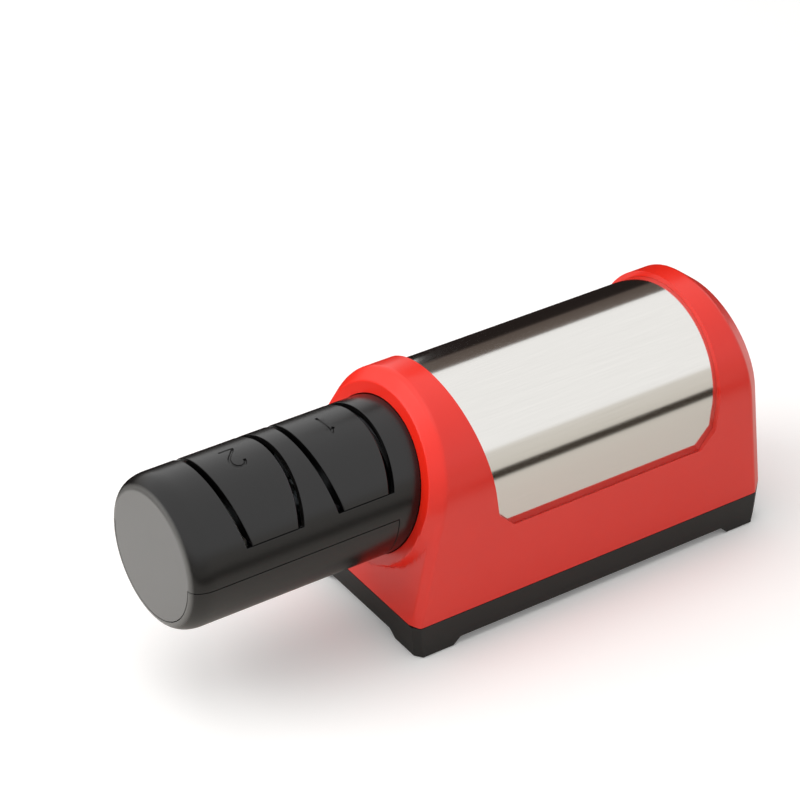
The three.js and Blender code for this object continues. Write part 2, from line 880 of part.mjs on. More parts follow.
// The rounded nose and the tube behind it, full, up to a station.
function snoutSkin(end) {
  const rounding = [];
  for (let i = 0; i <= roundingSteps; i += 1) {
    const angle = (i / roundingSteps) * (Math.PI / 2);
    const radius = snoutRadius - snoutRoundingInset * (1 - Math.sin(angle));
    rounding.push([radius, snoutRoundingLength * (1 - Math.cos(angle))]);
  }
  return turned([[0, 0], ...rounding, [snoutRadius, end], [0, end]], bodySteps);
}

function snoutHollow() {
  const end = snoutEnd + overrun;
  return turned(
    [
      [0, snoutEndWall],
      [noseRadius - snoutWall / 2, snoutEndWall],
      [snoutBore, snoutRoundingLength],
      [snoutBore, end],
      [0, end],
    ],
    bodySteps,
  );
}

function snoutBody() {
  const flange = rod(flangeRadius, flangeStart, flangeStart + flangeThickness, bodySteps);
  const shoulder = tube(
    snoutBore - shoulderDepth,
    snoutBore + clearance,
    trayEnd + clearance,
    trayEnd + shoulderWidth,
    bodySteps,
  );
  const bushOuter = spindleRadius + clearance + bushWall + clearance;
  const bossSpan = [snoutEndWall - clearance, snoutEndWall + bushLength];
  const boss = tube(bushOuter, bushOuter + bushBossWall, ...bossSpan);
  const trayGap = block(
    [-overrun, trayEnd],
    [-snoutRadius - overrun, snoutRadius + overrun],
    [axisHeight - snoutRadius - overrun, seamSnout + clearance / 2],
  );
  const openings = stages.map(({ centre }) => wedge(centre, slotHalfWidth, slotFloorHeight, snoutTop));
  const flangeHoles = flangeScrewPlaces.map(([y, z]) => {
    const through = [flangeStart - overrun, flangeStart + flangeThickness + overrun];
    return moved(rod(screwRadius + clearance, ...through, smallSteps), 0, y, z);
  });
  const solid = onAxis(join(snoutSkin(snoutEnd), flange));
  const shell = cut(solid, onAxis(snoutHollow()), trayGap, ...openings);
  const endDisc = rod(noseRadius - clearance, 0, snoutEndWall, bodySteps);
  const fitted = [endDisc, shoulder, boss].map(onAxis);
  return cut(join(shell, ...fitted), ...flangeHoles);
}

// Swarf cover: the lower half of the snout, with lips that locate it inside the upper half

function swarfCover() {
  const top = seamSnout - clearance / 2;
  const across = [-snoutRadius - overrun, snoutRadius + overrun];
  const below = block([0, trayEnd - clearance], across, [0, top]);
  const endHole = rod(noseRadius, -overrun, snoutEndWall + clearance, bodySteps);
  const skin = cut(snoutSkin(trayEnd), snoutHollow(), endHole);
  const shell = common(onAxis(skin), below);
  const lipOuter = snoutBore - clearance;
  const lipInner = lipOuter - trayLipThickness;
  const lipSpan = [snoutRoundingLength, trayEnd - snoutWall];
  const lipTube = tube(lipInner, lipOuter, ...lipSpan, bodySteps);
  const lipBand = block(lipSpan, across, [top - trayRootHeight, top + trayLipHeight]);
  const lips = common(onAxis(lipTube), lipBand);
  const rootTube = tube(lipInner, snoutBore + clearance, ...lipSpan, bodySteps);
  const rootBand = block(lipSpan, across, [top - trayRootHeight, top - clearance]);
  const roots = common(onAxis(rootTube), rootBand);
  const notchRing = tube(
    snoutRadius - nailNotchDepth,
    snoutRadius + overrun,
    nailNotchStart,
    nailNotchStart + nailNotchLength,
    bodySteps,
  );
  const notchBand = block(
    [nailNotchStart - overrun, nailNotchStart + nailNotchLength + overrun],
    [-nailNotchWidth / 2, nailNotchWidth / 2],
    [0, axisHeight],
  );
  return cut(join(shell, lips, roots), common(onAxis(notchRing), notchBand));
}

// Guide saddles

// Strokes of a plain digit, as points in shares of its width and height from its middle.
const digitShares = {
  1: [
    [-0.3, 0.25],
    [0, 0.5],
    [0, -0.5],
  ],
  2: [
    [-0.45, 0.22],
    [-0.32, 0.42],
    [0, 0.5],
    [0.32, 0.42],
    [0.42, 0.2],
    [0.28, -0.02],
    [-0.1, -0.25],
    [-0.45, -0.5],
    [0.5, -0.5],
  ],
};

// The digit reads from the far side, so it is turned half round.
function digitCut(digit, centre) {
  const points = digitShares[digit].map(([u, v]) => [
    centre - u * digitWidth,
    digitOffset - v * digitHeight,
  ]);
  const strokes = [];
  for (let i = 0; i + 1 < points.length; i += 1) {
    const [ax, ay] = points[i];
    const [bx, by] = points[i + 1];
    const length = Math.hypot(bx - ax, by - ay);
    const reach = length / 2 + digitStroke / 2;
    const bar = block([-reach, reach], [-digitStroke / 2, digitStroke / 2], [axisHeight, snoutTop]);
    bar.rotateZ(Math.atan2(by - ay, bx - ax));
    strokes.push(moved(bar, (ax + bx) / 2, (ay + by) / 2, 0));
  }
  const span = [centre - digitWidth, centre + digitWidth];
  const skin = tube(snoutRadius - digitDepth, snoutRadius + overrun, ...span, bodySteps);
  return common(join(...strokes), onAxis(skin));
}

function guideSaddle(centre, digit) {
  const bottom = slotFloorHeight + clearance;
  const reach = [centre - saddleWidth, centre + saddleWidth];
  const outer = wedge(centre, saddleWidth / 2, bottom, snoutTop);
  const inner = wedge(centre, saddleWidth / 2 - flankThickness, bottom - overrun, snoutTop);
  const crown = common(onAxis(rod(snoutRadius, ...reach, bodySteps)), outer);
  const hollow = common(onAxis(rod(snoutRadius - saddleShell, ...reach, bodySteps)), inner);
  const arch = cut(crown, hollow, onAxis(rod(discSpace, ...reach, bodySteps)));
  const tongueOuter = snoutBore - clearance;
  const tongueTube = tube(
    tongueOuter - tongueThickness,
    snoutBore + clearance,
    centre - tongueWidth / 2,
    centre + tongueWidth / 2,
    bodySteps,
  );
  const across = [-snoutRadius, snoutRadius];
  const width = [centre - tongueWidth, centre + tongueWidth];
  const above = block(width, across, [bottom, bottom + tongueThickness]);
  const roots = common(onAxis(tongueTube), above);
  const hangingTube = tube(
    tongueOuter - tongueThickness,
    tongueOuter,
    centre - tongueWidth / 2,
    centre + tongueWidth / 2,
    bodySteps,
  );
  const hanging = block(width, across, [bottom - tongueLength, bottom + clearance]);
  const tongues = common(onAxis(hangingTube), hanging);
  return cut(join(arch, roots, tongues), digitCut(digit, centre));
}

// Spindle line, drawn about the x axis

function spindleShaft() {
  const end = couplingStart + couplingHubLength;
  const shaft = turned([
    [0, spindleStart],
    [spindleRadius - spindleChamfer, spindleStart],
    [spindleRadius, spindleStart + spindleChamfer],
    [spindleRadius, end - spindleChamfer],
    [spindleRadius - spindleChamfer, end],
    [0, end],
  ]);
  const hole = crossPin(pinRadius + clearance, spindleDiameter + overrun);
  return cut(shaft, ...pinStations().map((x) => moved(hole, x, 0, 0)));
}

function crossPin(radius, length) {
  return rod(radius, -length / 2, length / 2, smallSteps).rotateZ(turn(90));
}

// Each disc is described with its face towards -x and its gauge point at x = 0.
const faceStation = saddleWidth / 2 + discProtrusion;
const pinInFront = clearance + pinRadius;
const discs = stages.flatMap(({ name, centre }) => [
  { name: name + "_front", stage: name, at: centre - faceStation, facing: 1 },
  { name: name + "_rear", stage: name, at: centre + faceStation, facing: -1 },
]);
const pinStations = () => discs.map(({ at, facing }) => at - facing * pinInFront);

const coneDepth = (radius) => (radius - slotFloor) * slope(discCone);

function facing(geometry, { at, facing: side }) {
  return geometry.clone().rotateZ(side < 0 ? Math.PI : 0).translate(at, 0, 0);
}

function discHub() {
  const behind = abrasiveThickness + clearance;
  const body = turned([
    [spindleRadius + clearance, -hubFront],
    [hubRadius, -hubFront],
    [hubRadius, coneDepth(hubRadius) + behind],
    [discRadius, coneDepth(discRadius) + behind],
    [discRadius, coneDepth(discRadius) + behind + backingThickness],
    [hubRadius, coneDepth(discRadius) + behind + backingThickness],
    [hubRadius, hubBack],
    [spindleRadius + clearance, hubBack],
    [spindleRadius + clearance, -hubFront],
  ]);
  const half = pinRadius + clearance;
  const reach = discRadius;
  return cut(body, block([-hubFront - overrun, 0], [-reach, reach], [-half, half]));
}

function abrasiveRing() {
  return turned([
    [abrasiveInner, coneDepth(abrasiveInner)],
    [discRadius, coneDepth(discRadius)],
    [discRadius, coneDepth(discRadius) + abrasiveThickness],
    [abrasiveInner, coneDepth(abrasiveInner) + abrasiveThickness],
    [abrasiveInner, coneDepth(abrasiveInner)],
  ]);
}

class Helix extends THREE.Curve {
  constructor(radius, length, turns) {
    super();
    this.radius = radius;
    this.length = length;
    this.turns = turns;
  }

  getPoint(t, target = new THREE.Vector3()) {
    const angle = t * this.turns * Math.PI * 2;
    const across = this.radius * Math.cos(angle);
    return target.set((t - 1 / 2) * this.length, across, this.radius * Math.sin(angle));
  }
}

function discSpring() {
  const room = 2 * (faceStation - hubBack - clearance) - springWire;
  const section = new THREE.Shape();
  section.absarc(0, 0, springWire / 2, 0, Math.PI * 2, false);
  const path = new Helix(springRadius, room, springTurns);
  const steps = springTurns * springSteps;
  return new THREE.ExtrudeGeometry(section, {
    steps,
    curveSegments: wireSides,
    bevelEnabled: false,
    extrudePath: path,
  });
}

// Bearings, carrier and seal

function endBush() {
  const inner = spindleRadius + clearance;
  const outer = inner + bushWall;
  const end = snoutEndWall + bushLength + clearance;
  return turned([
    [inner, snoutEndWall + clearance],
    [outer, snoutEndWall + clearance],
    [outer, end],
    [outer + bushFlange, end],
    [outer + bushFlange, end + bushFlangeThickness],
    [inner, end + bushFlangeThickness],
    [inner, snoutEndWall + clearance],
  ]);
}

const carrierStart = trayEnd + shoulderWidth + clearance;

function bearingCarrier() {
  const pocket = bearingRadius + clearance;
  const through = spindleRadius + sealWidth;
  const plateEnd = carrierStart + carrierThickness - clearance;
  return turned([
    [through, carrierStart],
    [snoutBore - clearance, carrierStart],
    [snoutBore - clearance, plateEnd],
    [pocket + carrierHubWall, plateEnd],
    [pocket + carrierHubWall, bearingEnd],
    [pocket, bearingEnd],
    [pocket, bearingStart - clearance],
    [through, bearingStart - clearance],
    [through, carrierStart],
  ]);
}

function feltSeal() {
  const outer = spindleRadius + sealWidth - clearance;
  return tube(spindleRadius + clearance, outer, carrierStart, carrierStart + sealThickness);
}

function bearingOuterRing() {
  const inner = spindleRadius + clearance + innerRingWall + clearance;
  return tube(inner, bearingRadius, bearingStart, bearingEnd);
}

function bearingInnerRing() {
  const inner = spindleRadius + clearance;
  return tube(inner, inner + innerRingWall, bearingStart, bearingEnd);
}

// Coupling

function couplingHub(bore) {
  const sleeve = tube(bore + clearance, couplingRadius, 0, couplingHubLength);
  const jaws = [];
  for (let i = 0; i < couplingJaws; i += 1) {
    const middle = (i * 360) / couplingJaws;
    const reach = [couplingHubLength - clearance, couplingHubLength + couplingJawLength];
    jaws.push(sector(jawInner + spiderBore, couplingRadius, middle, jawAngle, ...reach));
  }
  return join(sleeve, ...jaws);
}

function couplingSpider() {
  const start = couplingGapStart + clearance;
  const end = couplingGapEnd - clearance;
  const ring = tube(spiderBore, jawInner + spiderBore - clearance, start, end);
  const legs = [];
  const spacing = 180 / couplingJaws;
  const legAngle = spacing - jawAngle - spiderPlay;
  for (let i = 0; i < couplingJaws * 2; i += 1) {
    const middle = spacing / 2 + i * spacing;
    legs.push(sector(spiderRing, couplingRadius - clearance, middle, legAngle, start, end));
  }
  return join(ring, ...legs);
}

// Motor

function motorShaft() {
  return rod(motorShaftRadius, couplingGapEnd + clearance, fanEnd);
}

function motorCan() {
  return tube(motorRadius - canWall, motorRadius, canStart, canEnd);
}

function motorBell() {
  const inner = motorShaftRadius + clearance;
  const bell = turned([
    [inner, bellStart - bellBossLength],
    [bellBossRadius, bellStart - bellBossLength],
    [bellBossRadius, bellStart],
    [motorRadius, bellStart],
    [motorRadius, canStart - clearance],
    [inner, canStart - clearance],
    [inner, bellStart - bellBossLength],
  ]);
  const holes = [-1, 1].map((side) => {
    const hole = rod(screwRadius + clearance, bellStart - overrun, canStart, smallSteps);
    return moved(hole, 0, side * mountPitch, 0);
  });
  return cut(bell, ...holes);
}

function motorEndCap() {
  const inner = motorShaftRadius + clearance;
  const start = canEnd + clearance;
  return tube(inner, motorRadius, start, endCapEnd);
}

const armatureStart = canStart + (canLength - armatureLength) / 2;
const armatureEnd = armatureStart + armatureLength;

function armature() {
  const core = tube(motorShaftRadius + clearance, armatureCore, armatureStart, armatureEnd);
  const poles = [];
  for (let i = 0; i < armaturePoles; i += 1) {
    const middle = (i * 360) / armaturePoles;
    const inner = armatureCore - clearance;
    poles.push(sector(inner, armatureRadius, middle, poleAngle, armatureStart, armatureEnd));
  }
  return join(core, ...poles);
}

function motorBracket() {
  const half = bracketFootHalfWidth;
  const bottom = undersideTop + clearance;
  const shape = new THREE.Shape();
  shape.moveTo(-half, bottom);
  shape.lineTo(half, bottom);
  shape.lineTo(half, bracketFootTop + bracketThickness);
  shape.lineTo(bracketHeadRadius, axisHeight);
  shape.absarc(0, axisHeight, bracketHeadRadius, 0, Math.PI, false);
  shape.lineTo(-half, bracketFootTop + bracketThickness);
  const plate = prismAlongX(shape, bracketStart, bracketEnd);
  const foot = block([bracketEnd - bracketFootLength, bracketEnd], [-half, half], [bottom, bracketFootTop]);
  const through = [bracketStart - overrun, bracketEnd + overrun];
  const bossHole = onAxis(rod(bellBossRadius + clearance, ...through));
  const motorHoles = [-1, 1].map((side) => {
    const hole = rod(screwRadius + clearance, ...through, smallSteps);
    return moved(hole, 0, side * mountPitch, axisHeight);
  });
  const footHoles = [-1, 1].map((side) => {
    const span = [bottom - overrun, bracketFootTop + overrun];
    const hole = upright(rod(screwRadius + clearance, ...span, smallSteps));
    return moved(hole, bracketScrewStation, side * bracketScrewSide, 0);
  });
  return cut(join(plate, foot), bossHole, ...motorHoles, ...footHoles);
}

const cradleStart = (canStart + canEnd - cradleLength) / 2;
const cradleEnd = cradleStart + cradleLength;
const strapStart = (canStart + canEnd - strapWidth) / 2;

function motorCradle() {
  const bottom = undersideTop + clearance;
  const across = [-cradleHalfWidth, cradleHalfWidth];
  const bodyBlock = block([cradleStart, cradleEnd], across, [bottom, cradleRise]);
  const seat = onAxis(rod(motorRadius + clearance, cradleStart - overrun, cradleEnd + overrun));
  const lower = axisHeight - motorRadius - cradleWall;
  const inside = cradleHalfWidth - cradleWall;
  const hollow = block(
    [cradleStart + cradleWall, cradleEnd - cradleWall],
    [-inside, inside],
    [bottom - overrun, lower],
  );
  const screwHoles = [-1, 1].map((side) => {
    const deep = cradleRise - machineScrewLength;
    const hole = upright(rod(screwRadius + clearance, deep, cradleRise + overrun, smallSteps));
    return moved(hole, strapStart + strapWidth / 2, side * strapScrewSide, 0);
  });
  return cut(bodyBlock, seat, hollow, ...screwHoles);
}

const strapInner = motorRadius + clearance;
const strapScrewSide = motorRadius + strapEar / 2;

function motorStrap() {
  const outer = strapInner + strapThickness;
  const bottom = cradleRise + clearance;
  const span = [strapStart, strapStart + strapWidth];
  const ring = onAxis(tube(strapInner, outer, ...span, bodySteps));
  const above = block([span[0] - overrun, span[1] + overrun], [-outer, outer], [bottom, snoutTop]);
  const ears = [-1, 1].map((side) => {
    const near = Math.sqrt(strapInner ** 2 - (axisHeight - bottom) ** 2);
    const far = motorRadius + strapEar;
    const y = side < 0 ? [-far, -near] : [near, far];
    const ear = block(span, y, [bottom, bottom + strapThickness]);
    const through = [bottom - overrun, bottom + strapThickness + overrun];
    const hole = upright(rod(screwRadius + clearance, ...through, smallSteps));
    return cut(ear, moved(hole, strapStart + strapWidth / 2, side * strapScrewSide, 0));
  });
  const seat = onAxis(rod(strapInner, span[0] - overrun, span[1] + overrun, bodySteps));
  return cut(join(common(ring, above), ...ears), seat);
}

// Cooling fan

function coolingFan() {
  const hub = tube(motorShaftRadius + clearance, fanHubRadius, fanStart, fanEnd);
  const middle = (fanStart + fanEnd) / 2;
  const blades = [];
  for (let i = 0; i < fanBlades; i += 1) {
    const half = bladeThickness / 2;
    const inner = fanHubRadius - overrun;
    const blade = block([-half, half], [-fanLength / 2, fanLength / 2], [inner, fanRadius]);
    blade.rotateZ(turn(90 - bladePitch)).rotateX(turn((i * 360) / fanBlades));
    blades.push(moved(blade, middle, 0, 0));
  }
  const span = tube(motorShaftRadius + clearance, fanRadius, fanStart, fanEnd);
  return common(join(hub, ...blades), span);
}

// Circuit board

function circuitBoard() {
  return block([boardStart, boardEnd], [-boardHalfWidth, boardHalfWidth], [boardBottom, boardTop]);
}

const partsBase = boardTop + clearance;

function capacitor() {
  const can = upright(rod(capacitorDiameter / 2, partsBase, partsBase + capacitorHeight));
  return moved(can, boardStart + partGap + capacitorDiameter / 2, boardHalfWidth / 2, 0);
}

function rectifier() {
  const start = boardStart + partGap + capacitorDiameter + partGap;
  const x = [start, start + rectifierLength];
  const middle = -boardHalfWidth / 2;
  const y = [middle - rectifierWidth / 2, middle + rectifierWidth / 2];
  return block(x, y, [partsBase, partsBase + rectifierHeight]);
}

// Rocker switch, in the frame of the rear wall

const middleSpan = (size) => [-size / 2, size / 2];

function switchBody() {
  const top = clearance + bezelThickness;
  const bezel = block([clearance, top], middleSpan(bezelWidth), middleSpan(bezelHeight));
  const bodySides = [middleSpan(switchBodyWidth), middleSpan(switchBodyHeight)];
  const body = block([-switchBodyDepth, top], ...bodySides);
  const wellSides = [middleSpan(rockerWidth + rockerSideGap), middleSpan(rockerHeight + rockerEndGap)];
  const well = block([top - rockerWell, top + overrun], ...wellSides);
  const axleEnds = rockerAxleEnd + clearance;
  const axle = rockerAxle(rockerAxleRadius + clearance, axleEnds + rockerWidth + axleEnds);
  return cut(join(bezel, body), well, axle);
}

const rockerPivot = clearance + bezelThickness - rockerPivotDepth - rockerRise / 2;

function rockerAxle(radius, length) {
  return moved(crossPin(radius, length), rockerPivot, 0, 0);
}

function switchRocker() {
  const half = rockerHeight / 2;
  const profile = [
    [-rockerDepth, 0],
    [-rockerDepth / 2, -half * rockerWaistShare],
    [rockerRise, -half],
    [rockerRise - rockerDish, 0],
    [rockerRise, half],
    [-rockerDepth / 2, half * rockerWaistShare],
  ];
  const cap = prismAlongY(profile, -rockerWidth / 2, rockerWidth / 2).rotateY(turn(rockerTilt));
  const axle = crossPin(rockerAxleRadius, rockerAxleEnd + rockerWidth + rockerAxleEnd);
  return moved(join(cap, axle), rockerPivot, 0, 0);
}

// Power inlet, in the frame of the rear wall

function inletBody() {
  const top = clearance + inletFlangeThickness;
  const flange = block([clearance, top], middleSpan(inletFlangeWidth), middleSpan(inletFlangeHeight));
  const body = block([-inletDepth, top], middleSpan(inletBodyWidth), middleSpan(inletBodyHeight));
  const lobe = socketHeight / 2;
  const lobeCentre = socketWidth / 2 - lobe;
  const shape = new THREE.Shape();
  shape.absarc(lobeCentre, 0, lobe, -Math.PI / 2, Math.PI / 2, false);
  shape.absarc(-lobeCentre, 0, lobe, Math.PI / 2, (Math.PI * 3) / 2, false);
  const socket = prismAlongX(shape, top - socketDepth, top + overrun);
  const pinHoles = [-1, 1].map((side) => {
    const deep = top - socketDepth - socketPinRoot - clearance;
    const hole = rod(socketPinRadius + clearance, deep, top, smallSteps);
    return moved(hole, 0, (side * socketPinPitch) / 2, 0);
  });
  return cut(join(flange, body), socket, ...pinHoles);
}

function inletPin(side) {
  const floor = clearance + inletFlangeThickness - socketDepth;
  const pin = turned(
    [
      [0, floor - socketPinRoot],
      [socketPinRadius, floor - socketPinRoot],
      [socketPinRadius, floor + socketPinLength - socketPinRadius],
      [socketPinRadius / 2, floor + socketPinLength],
      [0, floor + socketPinLength],
    ],
    smallSteps,
  );
  return moved(pin, 0, (side * socketPinPitch) / 2, 0);
}

// Assembly: nested groups carry the spindle line and the rear wall's fittings

const overallLength = rearAtSeam;
const sharpener = new THREE.Group();
const drawn = new THREE.Group();
drawn.position.x = -overallLength / 2;
sharpener.add(drawn);

piece(drawn, "housing", housing(), redPlastic);
piece(drawn, "steel_cover", steelCover(), polishedSteel);
piece(drawn, "cover_frame", coverFrame(), greyPlastic);
piece(drawn, "base_cover", baseCover(), blackBase);

corners.forEach(({ name }, i) => {
  const pad = piece(drawn, "foot_pad_" + name, footPad(), rubber);
  pad.position.set(...padPlaces[i], 0);
  const fixing = piece(drawn, "base_screw_" + name, upright(screw(screwLength)), zincSteel);
  fixing.position.set(...screwPlaces[i], screwHeadTop - screwHeadHeight);
});

piece(drawn, "snout_body", snoutBody(), blackPlastic);
piece(drawn, "swarf_cover", swarfCover(), blackPlastic);
stages.forEach(({ name, centre, digit }) => {
  piece(drawn, "guide_saddle_" + name, guideSaddle(centre, digit), blackPlastic);
});
const flangeScrew = screw(machineScrewLength - overrun, flangeScrewHeadRadius);
flangeScrewPlaces.forEach(([y, z], i) => {
  const fixing = piece(drawn, "snout_screw_" + (i + 1), flangeScrew, zincSteel);
  fixing.rotation.z = Math.PI;
  fixing.position.set(flangeStart + flangeThickness + clearance + screwHeadHeight, y, z);
});

const spindleLine = new THREE.Group();
spindleLine.position.z = axisHeight;
drawn.add(spindleLine);
piece(spindleLine, "end_bush", endBush(), bronze);
piece(spindleLine, "bearing_carrier", bearingCarrier(), greyPlastic);
piece(spindleLine, "felt_seal", feltSeal(), feltWool);
piece(spindleLine, "bearing_outer_ring", bearingOuterRing(), plainSteel);
piece(spindleLine, "bearing_inner_ring", bearingInnerRing(), plainSteel);
piece(spindleLine, "spindle_shaft", spindleShaft(), plainSteel);

discs.forEach((disc) => {
  const grit = disc.stage === "fine" ? ceramic : diamondGrit;
  piece(spindleLine, "disc_hub_" + disc.name, facing(discHub(), disc), zincSteel);
  piece(spindleLine, "abrasive_" + disc.name, facing(abrasiveRing(), disc), grit);
  const pin = piece(spindleLine, "drive_pin_" + disc.name, crossPin(pinRadius, pinLength), plainSteel);
  pin.position.x = disc.at - disc.facing * pinInFront;
});
stages.forEach(({ name, centre }) => {
  const spring = piece(spindleLine, "disc_spring_" + name, discSpring(), plainSteel);
  spring.position.x = centre;
});

const spindleHalf = piece(spindleLine, "coupling_spindle_hub", couplingHub(spindleRadius), zincSteel);
spindleHalf.position.x = couplingStart;
piece(spindleLine, "coupling_spider", couplingSpider(), spiderRubber);
const motorHalf = piece(spindleLine, "coupling_motor_hub", couplingHub(motorShaftRadius), zincSteel);
motorHalf.rotation.z = Math.PI;
motorHalf.position.x = couplingEnd;

piece(spindleLine, "motor_shaft", motorShaft(), plainSteel);
piece(spindleLine, "motor_front_bell", motorBell(), zincSteel);
piece(spindleLine, "motor_can", motorCan(), zincSteel);
piece(spindleLine, "motor_end_cap", motorEndCap(), whitePlastic);
piece(spindleLine, "armature_core", armature(), plainSteel);
piece(spindleLine, "cooling_fan", coolingFan(), whitePlastic);
piece(drawn, "motor_bracket", motorBracket(), zincSteel);
piece(drawn, "motor_cradle", motorCradle(), greyPlastic);
piece(drawn, "motor_strap", motorStrap(), zincSteel);
piece(drawn, "circuit_board", circuitBoard(), boardLaminate);
piece(drawn, "capacitor", capacitor(), sleeveBlue);
piece(drawn, "bridge_rectifier", rectifier(), carbon);

function wallFitting(height) {
  const fitting = new THREE.Group();
  fitting.rotation.y = turn(-rearLean);
  fitting.position.set(leaning(rearFace, -rearLean, height), 0, height);
  drawn.add(fitting);
  return fitting;
}

const switchFitting = wallFitting(switchHeight);
piece(switchFitting, "switch_body", switchBody(), carbon);
piece(switchFitting, "switch_rocker", switchRocker(), blackPlastic);

const inletFitting = wallFitting(inletHeight);
piece(inletFitting, "inlet_body", inletBody(), carbon);
piece(inletFitting, "inlet_pin_right", inletPin(-1), brass);
piece(inletFitting, "inlet_pin_left", inletPin(1), brass);

export default sharpener;
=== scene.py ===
# %% [markdown]
# # An electric knife sharpener
# A worktop sharpener in moulded plastic and sheet steel. A round black snout carries two sharpening
# stages, each with a leaning slot on either side of a saddle. An arched red housing holds the motor under
# a polished steel cover. Everything below is placed in millimetres from the flat end of the snout, as the
# CAD model is, and turned into metres at the last step.

# %% The frame
import math

import bmesh
import bpy
from mathutils import Matrix, Vector


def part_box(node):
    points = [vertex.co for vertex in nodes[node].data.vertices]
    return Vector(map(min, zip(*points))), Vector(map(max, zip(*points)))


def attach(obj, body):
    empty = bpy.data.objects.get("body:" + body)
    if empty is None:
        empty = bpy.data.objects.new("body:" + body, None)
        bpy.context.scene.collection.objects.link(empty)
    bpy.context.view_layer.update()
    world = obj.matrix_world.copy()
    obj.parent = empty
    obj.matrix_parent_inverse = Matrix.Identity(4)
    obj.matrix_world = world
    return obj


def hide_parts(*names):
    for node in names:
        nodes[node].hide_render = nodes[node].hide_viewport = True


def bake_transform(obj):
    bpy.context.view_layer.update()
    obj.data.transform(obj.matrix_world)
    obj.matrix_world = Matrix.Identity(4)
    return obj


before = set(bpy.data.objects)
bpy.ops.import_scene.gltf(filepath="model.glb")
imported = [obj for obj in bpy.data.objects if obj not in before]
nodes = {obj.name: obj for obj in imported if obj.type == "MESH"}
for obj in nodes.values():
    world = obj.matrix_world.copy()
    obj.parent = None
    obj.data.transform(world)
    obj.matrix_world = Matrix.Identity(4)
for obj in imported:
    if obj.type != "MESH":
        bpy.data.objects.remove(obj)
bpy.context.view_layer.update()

# %% [markdown]
# ## Sizes that several pieces share
# The leaning ends of the housing are planes, so a station along the sharpener is given at the height of
# the arch's centre together with a lean in degrees. Two short functions turn that into a place.

# %% Shared sizes
MM = 0.001
LENGTH = 244.35
ARCH_CENTRE = 58.8
AXIS = 57.8
SEAM = 13.8
HALF_WIDTH = 35.0
FRONT_RIM = 94.4
FRONT_LEAN = 9.1
REAR_RIM = 230.8
REAR_FACE = 236.7
REAR_LEAN = -9.65
WINDOW_FRONT = 116.7
WINDOW_FRONT_LEAN = -11.0
WINDOW_REAR = 215.3
WINDOW_REAR_LEAN = 2.0
WINDOW_SILL = 43.8
WINDOW_CORNER_RISE = 6.5
WINDOW_CORNER_RUN = 5.6
SNOUT_RADIUS = 27.5
SLOT_FLOOR = 10.8
SLOT_LEAN = 11.4
STAGES = {"fine": 32.7, "coarse": 69.0}


def slope(degrees):
    return math.tan(math.radians(degrees))


def station(at, lean, height):
    """Where a leaning plane stands along the sharpener at a height above its feet."""
    return at + (height - ARCH_CENTRE) * slope(lean)


def metres(point):
    x, y, z = point
    return ((x - LENGTH / 2) * MM, y * MM, z * MM)


def show(thing):
    """Puts an object into the scene."""
    bpy.context.scene.collection.objects.link(thing)
    return thing


print("front rim at the seam", round(station(FRONT_RIM, FRONT_LEAN, SEAM), 2), "mm from the snout's end")

# %% [markdown]
# ## The camera
# The photograph looks down on the sharpener from its right front, with a long lens that is rolled by a
# few degrees. A long lens keeps the parallel edges of the base nearly parallel. The camera's axes are
# worked out from azimuth, elevation and roll, because that keeps each of the three readable.

# %% Camera
AZIMUTH = math.radians(-36.73)
ELEVATION = math.radians(34.35)
ROLL = math.radians(2.84)
FOCAL_PIXELS = 3155.75
SENSOR = 36.0
IMAGE_PIXELS = 800
CAMERA_PLACE = (-432.19, -712.44, 692.25)

back = Vector((
    math.sin(AZIMUTH) * math.cos(ELEVATION),
    -math.cos(AZIMUTH) * math.cos(ELEVATION),
    math.sin(ELEVATION),
))
level_right = Vector((math.cos(AZIMUTH), math.sin(AZIMUTH), 0))
level_up = back.cross(level_right)
right = math.cos(ROLL) * level_right + math.sin(ROLL) * level_up
up = -math.sin(ROLL) * level_right + math.cos(ROLL) * level_up

lens = bpy.data.cameras.new("photo_camera")
lens.sensor_width = SENSOR
lens.lens = FOCAL_PIXELS * SENSOR / IMAGE_PIXELS
lens.clip_end = 20
camera = show(bpy.data.objects.new("photo_camera", lens))
camera.matrix_world = Matrix((right, up, back)).transposed().to_4x4()
camera.location = metres(CAMERA_PLACE)
bpy.context.scene.camera = camera
print("lens", round(lens.lens, 1), "mm on a", SENSOR, "mm sensor")

# %% [markdown]
# ## Materials
# Colours are written as the sRGB values that a colour picker shows. Cycles works in linear light, so one
# function converts them. A second small function adds a shader node with its settings and its links, and
# each material below is a plain list of calls to it.


# %% Colour and node helpers
def linear(hex_colour):
    channels = [int(hex_colour[i : i + 2], 16) / 255 for i in (1, 3, 5)]
    bright = [c / 12.92 if c <= 0.04045 else ((c + 0.055) / 1.055) ** 2.4 for c in channels]
    return (*bright, 1.0)


def add_node(tree, kind, links=None, **settings):
    """A node of this kind, with its settings, and with each input linked to a socket or set to a value."""
    made = tree.nodes.new(kind)
    for name, value in settings.items():
        setattr(made, name, value)
    for socket, source in (links or {}).items():
        if isinstance(source, bpy.types.NodeSocket):
            tree.links.new(source, made.inputs[socket])
        else:
            made.inputs[socket].default_value = source
    return made


def empty_tree(owner):
    """The node tree of a material or a world, with nothing in it."""
    owner.use_nodes = True
    owner.node_tree.nodes.clear()
    return owner.node_tree


def start_material(name):
    """An empty material with its principled shader, and the object's own coordinates in metres."""
    material = bpy.data.materials.new(name)
    tree = empty_tree(material)
    shader = add_node(tree, "ShaderNodeBsdfPrincipled")
    add_node(tree, "ShaderNodeOutputMaterial", {"Surface": shader.outputs["BSDF"]})
    place = add_node(tree, "ShaderNodeTexCoord").outputs["Object"]
    return material, tree, shader, place


def per_metre(millimetres):
    """The scale that gives a pattern one repeat in this many millimetres."""
    return 1 / (millimetres * MM)


